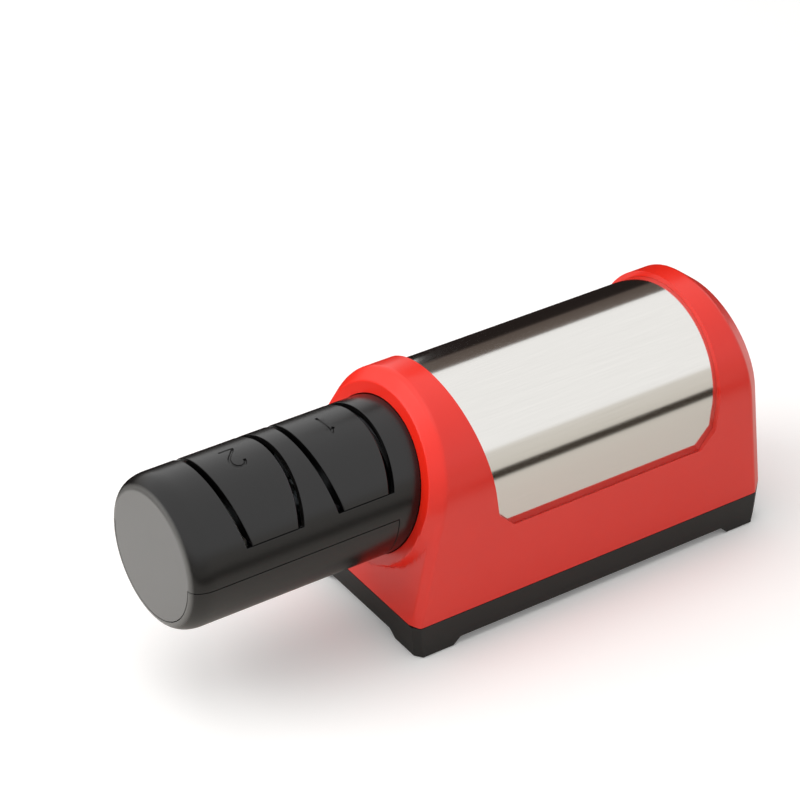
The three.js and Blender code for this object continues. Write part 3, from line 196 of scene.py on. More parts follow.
print("linear mid grey", round(linear("#808080")[0], 3))

# %% [markdown]
# ### Moulded plastics
# The housing, snout and base are ABS. The steel mould is polished and then lightly spark-eroded, which
# leaves a satin skin: highlights stay soft and a little uneven. Two noises do this. A wide one, the size
# of the sink marks in a thick moulding, changes the colour and the gloss by a few per cent, and a fine
# one, the size of the eroded grain, makes a shallow bump. The snout's flat end is made grey as a painted
# sheen for the light that it catches, a grey in its colour alone, which runs out over the rounded edge.

# %% Moulded plastic
SINK_WIDTH = 18.0
SATIN_SWING = 0.03
ABS_IOR = 1.54
GREY_SPAN = (0.1, 1.3)
BLACK_SATIN = ("#0b0a0a", "#0f0e0e", 0.26, 0.35, 0.006)


def moulded_plastic(name, low, high, rough, grain, depth, sheen=0.5):
    """Plastic from an eroded mould. low and high are its two nearly equal shades, and grain is in mm."""
    material, tree, shader, place = start_material(name)
    links = {"Vector": place, "Scale": per_metre(SINK_WIDTH), "Detail": 3.0}
    wide = add_node(tree, "ShaderNodeTexNoise", links).outputs["Fac"]
    links = {"Factor": wide, "A": linear(low), "B": linear(high)}
    # Blender's colour mix keeps its result behind the sockets of the other data types.
    shade = add_node(tree, "ShaderNodeMix", links, data_type="RGBA").outputs[2]
    links = {"Value": wide, "To Min": rough - SATIN_SWING, "To Max": rough + SATIN_SWING}
    gloss = add_node(tree, "ShaderNodeMapRange", links).outputs["Result"]
    links = {"Vector": place, "Scale": per_metre(grain), "Detail": 2.0}
    fine = add_node(tree, "ShaderNodeTexNoise", links).outputs["Fac"]
    links = {"Height": fine, "Strength": 0.6, "Distance": depth * MM}
    bump = add_node(tree, "ShaderNodeBump", links).outputs["Normal"]
    tree.links.new(shade, shader.inputs["Base Color"])
    tree.links.new(gloss, shader.inputs["Roughness"])
    tree.links.new(bump, shader.inputs["Normal"])
    shader.inputs["IOR"].default_value = ABS_IOR
    shader.inputs["Specular IOR Level"].default_value = sheen
    return material


def paint_sheen_on_flat_end(material):
    """Paints a grey sheen onto black plastic at the snout's flat end, fading out over the first of its
    length.
    """
    tree = material.node_tree
    shader = next(n for n in tree.nodes if n.type == "BSDF_PRINCIPLED")
    place = add_node(tree, "ShaderNodeTexCoord").outputs["Object"]
    along = add_node(tree, "ShaderNodeSeparateXYZ", {0: place}).outputs[0]
    start, end = (metres((x, 0.0, 0.0))[0] for x in GREY_SPAN)
    links = {"Value": along, "From Min": start, "From Max": end, "To Min": 1.0, "To Max": 0.0}
    grey = add_node(tree, "ShaderNodeMapRange", links, interpolation_type="SMOOTHSTEP").outputs[0]
    black = shader.inputs["Base Color"].links[0].from_socket
    # The pale grey is a painted sheen, standing in for the light that the flat end catches.
    links = {"Factor": grey, "A": black, "B": linear("#5b5a58")}
    faded = add_node(tree, "ShaderNodeMix", links, data_type="RGBA").outputs[2]
    tree.links.new(faded, shader.inputs["Base Color"])


red_abs = moulded_plastic("red_abs_satin_moulded", "#e9200d", "#ef2611", 0.3, 0.35, 0.006, 0.62)
black_abs = moulded_plastic("black_abs_satin_moulded", *BLACK_SATIN)
# The snout's moulding and the swarf cover get a painted sheen on the flat end, as a grey in their colour.
snout_abs = moulded_plastic("black_abs_painted_sheen_at_the_end", *BLACK_SATIN)
paint_sheen_on_flat_end(snout_abs)
base_abs = moulded_plastic("black_abs_eroded_base", "#131212", "#191818", 0.52, 0.45, 0.015)
grey_nylon = moulded_plastic("grey_glass_nylon_moulded", "#37373a", "#414144", 0.6, 0.8, 0.02)
white_nylon = moulded_plastic("natural_nylon_moulded", "#cfcbc0", "#dbd8cf", 0.5, 0.6, 0.01)
thermoset = moulded_plastic("black_thermoset_moulded", "#1d1d1f", "#252528", 0.45, 0.4, 0.01)
print("plastics:", red_abs.name, black_abs.name, base_abs.name)

# %% [markdown]
# ### Metals
# The cover is stainless sheet, rolled and then polished along its length, so its reflection is clear
# across the roll and slightly drawn out along it. A noise that is stretched a hundred times along the
# sharpener stands for the polishing lines. The real lines are some hundredths of a millimetre apart,
# which is too fine to show here, so they are drawn at a fifth of a millimetre. Turned, ground and
# zinc-plated steel differ only in colour, roughness and in the direction and depth of their lines.


# %% Metal
def drawn_metal(name, low, high, rough, swing, line, stretch, depth):
    """Metal with tool lines. line is their spacing in mm, and stretch the shares of it along x, y and z."""
    material, tree, shader, place = start_material(name)
    along = add_node(tree, "ShaderNodeVectorMath", {0: place, 1: stretch}, operation="MULTIPLY")
    links = {"Vector": along.outputs[0], "Scale": per_metre(line), "Detail": 4.0}
    lines = add_node(tree, "ShaderNodeTexNoise", links).outputs["Fac"]
    links = {"Factor": lines, "A": linear(low), "B": linear(high)}
    shade = add_node(tree, "ShaderNodeMix", links, data_type="RGBA").outputs[2]
    links = {"Value": lines, "To Min": rough - swing, "To Max": rough + swing}
    gloss = add_node(tree, "ShaderNodeMapRange", links).outputs["Result"]
    links = {"Height": lines, "Strength": 0.5, "Distance": depth * MM}
    bump = add_node(tree, "ShaderNodeBump", links).outputs["Normal"]
    tree.links.new(shade, shader.inputs["Base Color"])
    tree.links.new(gloss, shader.inputs["Roughness"])
    tree.links.new(bump, shader.inputs["Normal"])
    shader.inputs["Metallic"].default_value = 1.0
    return material


EVEN = (1.0, 1.0, 1.0)
stainless = drawn_metal(
    "stainless_sheet_polished", "#e2e0dc", "#f0eeea", 0.13, 0.03, 0.2, (0.01, 1.0, 1.0), 0.0006
)
ground_steel = drawn_metal("steel_ground", "#9fa3a6", "#b3b7ba", 0.3, 0.06, 0.25, (1.0, 0.05, 0.05), 0.002)
zinc_plate = drawn_metal("steel_zinc_plated", "#aeb4ba", "#c2c7cb", 0.36, 0.08, 1.5, EVEN, 0.002)
bronze = drawn_metal("bronze_sintered", "#9c7840", "#b58c50", 0.42, 0.08, 0.3, EVEN, 0.01)
brass = drawn_metal("brass_drawn", "#c4a14e", "#d4b464", 0.25, 0.05, 0.2, (0.05, 1.0, 1.0), 0.001)
print("metals:", stainless.name, ground_steel.name, zinc_plate.name)

# %% [markdown]
# ### Grits, rubbers and felt
# The abrasive is a coat of crystals. The coarse pair has diamond set in nickel, grey with bright points,
# and the fine pair a white ceramic. Voronoi cells are the crystals: each cell gets its own brightness and
# height. Real grains of 0.05 to 0.1 mm are drawn at 0.3 mm so that they show. Rubber and felt take the
# same recipe with softer cells.


# %% Granular surfaces
def granular(name, low, high, rough, grain, depth, metallic=0.0, sheen=0.0):
    """A surface of grains. Each grain has its own shade between low and high, and its own height."""
    material, tree, shader, place = start_material(name)
    cells = add_node(tree, "ShaderNodeTexVoronoi", {"Vector": place, "Scale": per_metre(grain)})
    tone = add_node(tree, "ShaderNodeSeparateColor", {"Color": cells.outputs["Color"]}).outputs[0]
    links = {"Factor": tone, "A": linear(low), "B": linear(high)}
    shade = add_node(tree, "ShaderNodeMix", links, data_type="RGBA").outputs[2]
    links = {"Height": cells.outputs["Distance"], "Strength": 0.8, "Distance": depth * MM}
    bump = add_node(tree, "ShaderNodeBump", links, invert=True).outputs["Normal"]
    tree.links.new(shade, shader.inputs["Base Color"])
    tree.links.new(bump, shader.inputs["Normal"])
    shader.inputs["Roughness"].default_value = rough
    shader.inputs["Metallic"].default_value = metallic
    shader.inputs["Sheen Weight"].default_value = sheen
    return material


diamond_coat = granular("diamond_in_nickel_plated", "#6d7074", "#b9bcc0", 0.45, 0.3, 0.06, metallic=0.7)
ceramic_coat = granular("ceramic_grit_bonded", "#d3cdc1", "#efeae0", 0.7, 0.3, 0.04)
black_rubber = granular("black_rubber_moulded", "#171717", "#202020", 0.75, 0.5, 0.01)
red_urethane = granular("polyurethane_cast", "#93301f", "#a83a29", 0.55, 0.6, 0.01)
wool_felt = granular("wool_felt_pressed", "#7c7c77", "#9a9a94", 0.95, 0.6, 0.1, sheen=0.4)
board_laminate = granular("glass_epoxy_laminate", "#245a38", "#2f6b45", 0.4, 0.8, 0.004)
shrink_sleeve = granular("shrink_sleeve_drawn", "#223a63", "#2a4673", 0.35, 2.0, 0.004)
marking_white = granular("marking_paint_printed", "#d9d9d6", "#e4e4e1", 0.5, 0.6, 0.004)
print("granular:", diamond_coat.name, ceramic_coat.name, black_rubber.name)

# %% [markdown]
# ## Tools for making meshes
# Moulded parts are easiest to control as grids: rows of points that follow the part's own edges, joined
# by four-sided faces. An open grid becomes a wall with the Solidify modifier, and a Bevel modifier rounds
# the sharp edges that this makes. Rounded edges matter, because a moulded edge shows as a thin line of
# light. Turned parts are profiles swept round an axis.


# %% Mesh helpers
WELD = 0.002 * MM
ROUNDING_STEPS = 3


def new_piece(name, points, faces, material, body, inside=None, stands_for=(), sharp=40):
    """A mesh piece from points in mm. inside is a point in mm that its faces must look away from."""
    mesh = bpy.data.meshes.new(name)
    mesh.from_pydata([metres(p) for p in points], [], faces)
    edit = bmesh.new()
    edit.from_mesh(mesh)
    bmesh.ops.remove_doubles(edit, verts=edit.verts, dist=WELD)
    bmesh.ops.dissolve_degenerate(edit, edges=edit.edges, dist=WELD)
    bmesh.ops.delete(edit, geom=[v for v in edit.verts if not v.link_faces], context="VERTS")
    bmesh.ops.recalc_face_normals(edit, faces=edit.faces)
    if inside is not None:
        heart = Vector(metres(inside))
        facing = sum(f.normal.dot(f.calc_center_median() - heart) * f.calc_area() for f in edit.faces)
        if facing < 0:
            bmesh.ops.reverse_faces(edit, faces=edit.faces)
    edit.to_mesh(mesh)
    edit.free()
    mesh.shade_smooth()
    mesh.set_sharp_from_angle(angle=math.radians(sharp))
    mesh.materials.append(material)
    made = show(bpy.data.objects.new(name, mesh))
    if body:
        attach(made, body)
    if stands_for:
        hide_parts(*stands_for)
    return made


def grid_faces(rows, columns, keep=None, wrap=False, close=False):
    """Faces of a grid whose points are listed row by row. keep(row, column) drops a cell by saying False.

    wrap joins the last row to the first, and close does the same for the columns.
    """
    faces = []
    for r in range(rows if wrap else rows - 1):
        start, after = r * columns, (r + 1) % rows * columns
        for c in range(columns if close else columns - 1):
            beside = (c + 1) % columns
            if keep is None or keep(r, c):
                faces.append((start + c, start + beside, after + beside, after + c))
    return faces


def band_faces(count):
    """Two end faces of count points each, and the band between them."""
    return [tuple(range(count)), tuple(range(count, 2 * count))] + grid_faces(2, count, close=True)


def settle(piece):
    """Turns the modifiers into plain mesh."""
    seen = piece.evaluated_get(bpy.context.evaluated_depsgraph_get())
    piece.data = bpy.data.meshes.new_from_object(seen)
    piece.modifiers.clear()


def keep_flat(piece):
    """Lets large faces keep their own direction of shading, so that roundings don't smear over them."""
    weighted = piece.modifiers.new("shading", "WEIGHTED_NORMAL")
    weighted.keep_sharp = True
    settle(piece)


def soften(piece, rounding, angle=40):
    """Rounds every edge that is sharper than an angle."""
    round_off = piece.modifiers.new("rounding", "BEVEL")
    round_off.limit_method = "ANGLE"
    round_off.angle_limit = math.radians(angle)
    round_off.width = rounding * MM
    round_off.segments = ROUNDING_STEPS
    keep_flat(piece)


def wall(piece, thickness, rounding=None):
    """Gives an open surface a thickness inwards, and can round the edges that this makes."""
    solid = piece.modifiers.new("wall", "SOLIDIFY")
    solid.thickness = thickness * MM
    solid.offset = -1
    solid.use_even_offset = True
    if rounding:
        soften(piece, rounding)
    else:
        settle(piece)


def sharpen(piece, angle):
    """Marks the edges above an angle as sharp anew, after a cut."""
    piece.data.set_sharp_from_angle(angle=math.radians(angle))
    keep_flat(piece)


def carve(piece, *tools):
    """Cuts each tool out of the piece, and removes the tools."""
    for tool in tools:
        cut = piece.modifiers.new("cut", "BOOLEAN")
        cut.operation = "DIFFERENCE"
        cut.solver = "MANIFOLD"
        cut.object = tool
    bpy.context.view_layer.update()
    settle(piece)
    for tool in tools:
        bpy.data.objects.remove(tool)
    print(piece.name, "cut by", len(tools), "tools:", len(piece.data.polygons), "faces")


def curve_points(a, corner, b, steps):
    """A quarter-round from a to b, drawn towards the corner."""
    made = []
    for i in range(steps + 1):
        t = i / steps
        made.append(tuple(
            (1 - t) ** 2 * p + 2 * t * (1 - t) * q + t**2 * r for p, q, r in zip(a, corner, b)
        ))
    return made


def spread(start, end, count):
    return [start + (end - start) * i / count for i in range(count + 1)]


def subdivide(keys, cells):
    """The keys, with the gaps between them divided evenly into the numbers of cells given."""
    made = [keys[0]]
    for start, end, count in zip(keys, keys[1:], cells):
        made += spread(start, end, count)[1:]
    return made


def on_tube(x, radius, angle):
    """A point in mm round the snout's axis. The angle starts at the top and goes down the right side."""
    return (x, -radius * math.sin(angle), AXIS + radius * math.cos(angle))


print("mesh helpers ready")


# %% Turned and extruded helpers
def turned(name, profile, material, body, centre=(0.0, 0.0, AXIS), axis="X", steps=96, **more):
    """A closed profile of (radius, distance along the axis) swept round an axis through centre, in mm."""
    points = []
    for i in range(steps):
        angle = 2 * math.pi * i / steps
        for radius, along in profile:
            u, v = radius * math.cos(angle), radius * math.sin(angle)
            offset = (along, u, v) if axis == "X" else (u, v, along)
            points.append(tuple(c + o for c, o in zip(centre, offset)))
    faces = grid_faces(steps, len(profile), wrap=True, close=True)
    return new_piece(name, points, faces, material, body, **more)


def prism(name, outline, axis, low, high):
    """A cutting tool: an outline swept along an axis. It is drawn in the other two axes, in X, Y, Z order."""
    order = {"X": lambda u, v, w: (w, u, v), "Y": lambda u, v, w: (u, w, v), "Z": lambda u, v, w: (u, v, w)}
    points = [order[axis](u, v, w) for w in (low, high) for u, v in outline]
    return new_piece(name, points, band_faces(len(outline)), base_abs, None)


def rectangle(x, y, half_width, half_height):
    signs = ((-1, -1), (1, -1), (1, 1), (-1, 1))
    return [(x + u * half_width, y + v * half_height) for u, v in signs]


def rounded_rectangle(width, height, radius, steps=6):
    outline = []
    for turn, (su, sv) in enumerate(((1, 1), (-1, 1), (-1, -1), (1, -1))):
        cu, cv = su * (width / 2 - radius), sv * (height / 2 - radius)
        for i in range(steps + 1):
            angle = math.pi / 2 * (turn + i / steps)
            outline.append((cu + radius * math.cos(angle), cv + radius * math.sin(angle)))
    return outline


def circle(radius, centre=(0.0, 0.0), steps=32):
    angles = [2 * math.pi * i / steps for i in range(steps)]
    return [(centre[0] + radius * math.cos(a), centre[1] + radius * math.sin(a)) for a in angles]


print("turning helpers ready")

# %% [markdown]
# ## The housing
# One red moulding: an arch on straight sides, with two leaning ends. Its front carries a conical collar
# round the snout, and a window is cut over the whole roof. The sides are a grid whose columns follow the
# window's own edges, so the cut comes out clean with its two corners cut off. The front is a grid of rays
# from the snout's axis, and its depth is worked out from the flat front, the chamfer and the cone. Where
# two of them meet, a smooth maximum or minimum gives the soft radius of a real mould.

# %% Outline of the arch
LEG_HEIGHTS = [SEAM, 17.0, 21.0, 25.0, 29.0, 33.0, 37.0, 41.0, WINDOW_SILL,
               WINDOW_SILL + WINDOW_CORNER_RISE, 55.0]
ARCH_STEPS = 72


def arch_outline(radius, heights, steps=ARCH_STEPS):
    """(y, z, outward y, outward z) from the right foot over the top to the left foot."""
    half = [(-radius, h, -1.0, 0.0) for h in heights]
    for i in range(steps + 1):
        angle = math.pi * (1 - i / steps)
        across, rise = math.cos(angle), math.sin(angle)
        half.append((radius * across, ARCH_CENTRE + radius * rise, across, rise))
    return half + [(radius, h, 1.0, 0.0) for h in reversed(heights)]


outline = arch_outline(HALF_WIDTH, LEG_HEIGHTS)
print("points round the housing:", len(outline))

# %% Depth of the front
CHAMFER_RUN = 2.7
CHAMFER_DEPTH = 2.2
RING_RADIUS = 32.0
RING_STATION = 89.0
RING_LEAN = 11.3
BORE_RADIUS = 27.8
CHAMFER_BLEND = 0.45
COLLAR_BLEND = 0.5


def smooth_max(a, b, width):
    mix = max(0.0, min(1.0, 0.5 + 0.5 * (a - b) / width))
    return b + (a - b) * mix + width * mix * (1 - mix)


def smooth_min(a, b, width):
    return -smooth_max(-a, -b, width)


def cone_station(y, z):
    """The collar: a cone from the arch's own circle at the rim to the smaller ring round the snout.

    On the way the circle shrinks and its centre drops, both evenly. The share of the way at which it meets
    a point solves a square equation.
    """
    rise = z - ARCH_CENTRE
    shrink, drop = HALF_WIDTH - RING_RADIUS, ARCH_CENTRE - AXIS
    a = shrink**2 - drop**2
    b = 2 * (HALF_WIDTH * shrink + rise * drop)
    c = HALF_WIDTH**2 - y * y - rise * rise
    share = (b - math.sqrt(max(0.0, b * b - 4 * a * c))) / (2 * a)
    rim = station(FRONT_RIM, FRONT_LEAN, z)
    ring = station(RING_STATION, RING_LEAN, z)
    return rim + (ring - rim) * share, ring


def front_station(y, z):
    """Where the front's surface stands along the sharpener, at a place seen from the front."""
    flat = station(FRONT_RIM - CHAMFER_DEPTH, FRONT_LEAN, z)
    from_edge = HALF_WIDTH - (math.hypot(y, z - ARCH_CENTRE) if z > ARCH_CENTRE else abs(y))
    chamfer = flat + CHAMFER_DEPTH * (1 - from_edge / CHAMFER_RUN)
    cone, ring = cone_station(y, z)
    face, collar = smooth_max(flat, chamfer, CHAMFER_BLEND), smooth_max(ring, cone, COLLAR_BLEND)
    return smooth_min(face, collar, COLLAR_BLEND)


at_seam, at_ring = (round(front_station(0, height), 2) for height in (SEAM, AXIS - BORE_RADIUS))
print("front at the seam", at_seam, "and at the foot of the bore", at_ring)

# %% Housing mesh
EDGE_ROUND = 0.9
ROUND_STEPS = 4
SIDE_CELLS = (5, 16, 5)
RAY_CELLS = 34
REAR_RUN = 5.3
FOOT_RAYS = 20


def housing_columns(height):
    """Stations of the grid's columns on the side, at a height: rim, window front, window rear, rim."""
    corner = WINDOW_CORNER_RUN * max(0.0, min(1.0, 1 - (height - WINDOW_SILL) / WINDOW_CORNER_RISE))
    level = max(height, WINDOW_SILL)
    keys = [
        station(FRONT_RIM, FRONT_LEAN, height) + EDGE_ROUND,
        station(WINDOW_FRONT, WINDOW_FRONT_LEAN, level) + corner,
        station(WINDOW_REAR, WINDOW_REAR_LEAN, level) - corner,
        station(REAR_RIM, REAR_LEAN, height) - EDGE_ROUND,
    ]
    return subdivide(keys, SIDE_CELLS)


def front_ray(edge_y, edge_z):
    """Points of the front on a ray from the bore out to a point near its edge."""
    reach = math.hypot(edge_y, edge_z - AXIS)
    ray = []
    for distance in spread(BORE_RADIUS, reach, RAY_CELLS):
        y, z = edge_y * distance / reach, AXIS + (edge_z - AXIS) * distance / reach
        ray.append((front_station(y, z), y, z))
    return ray


rows = []
for y, z, out_y, out_z in outline:
    inset = EDGE_ROUND * 0.75
    ray = front_ray(y - out_y * inset, z - out_z * inset)
    columns = [(x, y, z) for x in housing_columns(z)]
    rim = (station(FRONT_RIM, FRONT_LEAN, z), y, z)
    front_round = curve_points(ray[-1], rim, columns[0], ROUND_STEPS)[1:-1]
    rear_rim = (station(REAR_RIM, REAR_LEAN, z), y, z)
    face_y, face_z = y - out_y * REAR_RUN, z - out_z * REAR_RUN
    face = (station(REAR_FACE, REAR_LEAN, face_z), face_y, face_z)
    toward = Vector(face) - Vector(rear_rim)
    start = tuple(Vector(rear_rim) + toward.normalized() * EDGE_ROUND)
    rear_round = curve_points(columns[-1], rear_rim, start, ROUND_STEPS)[1:]
    rows.append(ray + front_round + columns + rear_round + [face])

columns_in_row = len(rows[0])
window_start = RAY_CELLS + 1 + ROUND_STEPS - 1 + SIDE_CELLS[0]
window_end = window_start + SIDE_CELLS[1]
sill_row = LEG_HEIGHTS.index(WINDOW_SILL)


def outside_window(row, column):
    beside = row < sill_row or row >= len(rows) - 1 - sill_row
    return beside or not window_start <= column < window_end


points = [p for row in rows for p in row]
faces = grid_faces(len(rows), columns_in_row, outside_window)
# The rear face, and the foot of the front below the ring, close the shell.
faces.append(tuple(r * columns_in_row + columns_in_row - 1 for r in range(len(rows))))
foot_front, foot_side = rows[0][RAY_CELLS][1], rows[-1][RAY_CELLS][1]
foot_start = len(points)
for edge_y in spread(foot_side, foot_front, FOOT_RAYS):
    points += front_ray(edge_y, SEAM)
faces += [tuple(foot_start + i for i in face) for face in grid_faces(FOOT_RAYS + 1, RAY_CELLS + 1)]
housing = new_piece(
    "housing_shell", points, faces, red_abs, "sharpener", inside=(165.0, 0.0, 50.0), stands_for=["housing"]
)
print("housing faces", len(housing.data.polygons))

# %% [markdown]
# The switch and the inlet sit in the leaning rear wall. A small helper gives any point of that wall's own
# frame, with u across, v up the wall and w out of it. The shell gets its wall first. The lower edge of the
# window then falls inwards, as a mould needs it, so that the steel is seen down to the red edge. After
# that its edges are rounded, and the two openings are cut.

# %% Rear wall frame
REAR_TURN = math.radians(REAR_LEAN)
SWITCH_HEIGHT = 66.0
INLET_HEIGHT = 34.0
HOUSING_WALL = 1.95
SILL_FALL = 36
SILL_DEPTHS = (0.5, 3.0)
CUT_SPAN = (-6.0, 3.0)


def on_rear_wall(height, w, u, v):
    """A point on the rear wall in mm: w out of it, u across and v up it, from a height on its outside."""
    x = station(REAR_FACE, REAR_LEAN, height) + w * math.cos(REAR_TURN) + v * math.sin(REAR_TURN)
    z = height - w * math.sin(REAR_TURN) + v * math.cos(REAR_TURN)
    return (x, u, z)


def wall_prism(name, height, shape, low, high, body=None):
    """An outline of (u, v) swept out of the rear wall from low to high."""
    points = [on_rear_wall(height, w, u, v) for w in (low, high) for u, v in shape]
    return new_piece(name, points, band_faces(len(shape)), thermoset, body)


wall(housing, HOUSING_WALL)
lowered = 0
for corner in housing.data.vertices:
    depth = HALF_WIDTH - abs(corner.co.y) / MM
    if abs(corner.co.z / MM - WINDOW_SILL) < 0.01 and SILL_DEPTHS[0] < depth < SILL_DEPTHS[1]:
        corner.co.z -= depth * MM * slope(SILL_FALL)
        lowered += 1
print("points of the sill lowered:", lowered)
soften(housing, 0.35)
carve(
    housing,
    wall_prism("switch_cut", SWITCH_HEIGHT, rounded_rectangle(13.0, 19.2, 0.6), *CUT_SPAN),
    wall_prism("inlet_cut", INLET_HEIGHT, rounded_rectangle(20.6, 12.6, 0.6), *CUT_SPAN),
)
sharpen(housing, 40)
print("housing wall done:", len(housing.data.polygons), "faces")

# %% [markdown]
# ## The steel cover
# A sheet of polished stainless, bent to the arch two millimetres inside the red surface, which is why the
# window shows a step all round it. It runs on behind the window's edges. A finely divided arch matters
# here, because a polished surface shows every facet in its reflections.

# %% Steel cover mesh
COVER_RADIUS = 33.0
COVER_LAP = 3.3
COVER_FOOT = 40.4
COVER_CELLS = 12
COVER_SHEET = 0.8

cover_rows = arch_outline(COVER_RADIUS, spread(COVER_FOOT, ARCH_CENTRE, 6)[:-1], steps=120)
points = []
for y, z, _, _ in cover_rows:
    front = station(WINDOW_FRONT - COVER_LAP, WINDOW_FRONT_LEAN, z)
    rear = station(WINDOW_REAR + COVER_LAP, WINDOW_REAR_LEAN, z)
    points += [(x, y, z) for x in spread(front, rear, COVER_CELLS)]
cover = new_piece(
    "steel_cover_sheet",
    points,
    grid_faces(len(cover_rows), COVER_CELLS + 1),
    stainless,
    "sharpener",
    inside=(165.0, 0.0, 50.0),
    stands_for=["steel_cover"],
)
wall(cover, COVER_SHEET, 0.15)
print("steel cover", len(cover.data.polygons), "faces")

# %% [markdown]
# ## The base
# A black tray with the housing's own outline. Its front is undercut, its corners carry on the housing's
# chamfers, and it stands on four corner feet, because the middle is raised. It is a simple form with flat
# sides, so it is made as a solid block that is hollowed and cut with plain tools, and then its edges are
# rounded.

# %% Base mesh
BASE_TOP = 13.5
FRONT_FACE = FRONT_RIM - CHAMFER_DEPTH
FRONT_AT_SEAM = station(FRONT_FACE, FRONT_LEAN, SEAM)
REAR_AT_SEAM = station(REAR_FACE, REAR_LEAN, SEAM)
UNDERCUT = 1.8
REAR_DRAFT = 0.5
REAR_CORNER = 5.9
FOOT_HEIGHT = 3.2
FOOT_LENGTH = 14.6
FOOT_WIDTH = 13.5
FOOT_SLANT = 3.5
TRAY_UNDERSIDE = 0.4
TRAY_WALL = 2.4
TRAY_FLOOR = 5.4
OVERRUN = 1.0
POCKET = (4.8, 1.9)  # radius and height, for a rubber pad
WELL = (3.3, 7.9)  # radius and height, for a screw
CORNERS = ("front_right", "front_left", "rear_right", "rear_left")
VENT_PITCH = 8.0
VENTS = 7
VENT_SIZE = (3.0, 26.0, 1.4)  # width, length and corner radius
VENT_REACH = 8.0


def base_outline(inset, undercut, draft):
    side = HALF_WIDTH - inset
    front = FRONT_AT_SEAM + undercut + inset
    rear = REAR_AT_SEAM - draft - inset
    half = [
        (front, side - CHAMFER_RUN),
        (front + CHAMFER_DEPTH, side),
        (rear - REAR_CORNER, side),
        (rear, side - REAR_RUN),
    ]
    return half + [(x, -y) for x, y in reversed(half)]


def base_block(name, inset, low, high):
    lower = [(x, y, low) for x, y in base_outline(inset, UNDERCUT, REAR_DRAFT)]
    upper = [(x, y, high) for x, y in base_outline(inset, 0.0, 0.0)]
    return new_piece(name, lower + upper, band_faces(len(lower)), base_abs, None)


def relief(name, start, end, axis, low, high):
    """A tool that raises the underside between two rows of feet, with slanting ends."""
    outline = [
        (start - OVERRUN, -OVERRUN),
        (end + OVERRUN, -OVERRUN),
        (end - FOOT_SLANT, FOOT_HEIGHT),
        (start + FOOT_SLANT, FOOT_HEIGHT),
    ]
    return prism(name, outline, axis, low, high)


def middle_of(box):
    low, high = box
    return ((low.x + high.x) / 2 / MM + LENGTH / 2, (low.y + high.y) / 2 / MM)


base = base_block("base_tray", 0.0, TRAY_UNDERSIDE, BASE_TOP)
foot_front = FRONT_AT_SEAM + UNDERCUT + FOOT_LENGTH
foot_rear = REAR_AT_SEAM - REAR_DRAFT - REAR_CORNER - FOOT_LENGTH + FOOT_SLANT
inner_foot = HALF_WIDTH - FOOT_WIDTH
tools = [
    base_block("tray_hollow", TRAY_WALL, TRAY_FLOOR, BASE_TOP + OVERRUN),
    relief("long_relief", foot_front, foot_rear, "Y", -40, 40),
    relief("cross_relief", -inner_foot, inner_foot, "X", FRONT_AT_SEAM - OVERRUN, REAR_AT_SEAM + OVERRUN),
]
pad_box = {name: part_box("foot_pad_" + name) for name in CORNERS}
screw_box = {name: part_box("base_screw_" + name) for name in CORNERS}
for name in CORNERS:
    for boxes, (radius, top) in ((pad_box, POCKET), (screw_box, WELL)):
        tools.append(prism("pocket", circle(radius, middle_of(boxes[name]), 40), "Z", -OVERRUN, top))
vent_middle = sum(v.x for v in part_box("motor_can")) / 2 / MM + LENGTH / 2
for i in range(VENTS):
    x = vent_middle + (i - VENTS // 2) * VENT_PITCH
    slot = [(x + u, v) for u, v in rounded_rectangle(*VENT_SIZE)]
    tools.append(prism("vent_cut", slot, "Z", 0, VENT_REACH))
carve(base, *tools)
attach(base, "sharpener")
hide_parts("base_cover")
soften(base, 0.45, angle=25)
print("base", len(base.data.polygons), "faces")

# %% Feet and base screws
for name, corners in pad_box.items():
    x, y = middle_of(corners)
    turned(
        "rubber_foot_" + name,
        [(0.01, 0.2), (1.6, 0.2), (1.9, 0.0), (3.9, 0.0), (4.3, 0.25), (4.5, 0.7), (4.5, 1.6), (0.01, 1.6)],
        black_rubber,
        "sharpener",
        centre=(x, y, 0.0),
        axis="Z",
        steps=48,
        stands_for=["foot_pad_" + name],
    )
SCREW_SEAT = 5.7
CROSS_SPAN = (SCREW_SEAT - 1, SCREW_SEAT + 1.1)
CROSS_ARMS = ((1.6, 0.3), (0.3, 1.6))
for name, corners in screw_box.items():
    x, y = middle_of(corners)
    screw = turned(
        "tray_screw_" + name,
        [(0.01, 0.15), (1.5, 0.0), (2.4, 0.2), (2.9, 0.7), (3.0, 1.3), (3.0, 2.0), (1.2, 2.0), (1.2, 17.5),
         (0.5, 18.0), (0.01, 18.0)],
        zinc_plate,
        None,
        centre=(x, y, SCREW_SEAT),
        axis="Z",
        steps=40,
    )
    arms = [prism("cross", rectangle(x, y, u, v), "Z", *CROSS_SPAN) for u, v in CROSS_ARMS]
    carve(screw, *arms)
    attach(screw, "sharpener")
    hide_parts("base_screw_" + name)
print("feet and screws:", len(pad_box), "corners")

# %% [markdown]
# ## The snout
# A black tube that is closed at its flat end by a rounded edge. Each stage opens its upper half between
# two leaning edges, and the lower half is left open for the swarf cover. The grid's rows run round the
# tube and its columns follow the edges of the openings, which lean outwards as they rise, so every
# opening ends exactly on a line of the grid.

# %% Snout body mesh
OPENING_HALF = 11.3
CAP_EDGE = 8.3
TRAY_END = 81.4
SNOUT_TAIL = 109.5
SEAM_RISE = 0.7
LEDGE_ROW = 20
SEAM_ROW = 26
LOWER_ROWS = 26
SNOUT_WALL = 2.4
ledge_angle = math.acos(SLOT_FLOOR / SNOUT_RADIUS)
seam_angle = math.acos(SEAM_RISE / SNOUT_RADIUS)
row_counts = (LEDGE_ROW, SEAM_ROW - LEDGE_ROW, LOWER_ROWS)
half_angles = subdivide([0.0, ledge_angle, seam_angle, math.pi], row_counts)
snout_angles = half_angles + [2 * math.pi - a for a in reversed(half_angles[1:-1])]
SNOUT_CELLS = (4, 8, 5, 8, 4, 6)


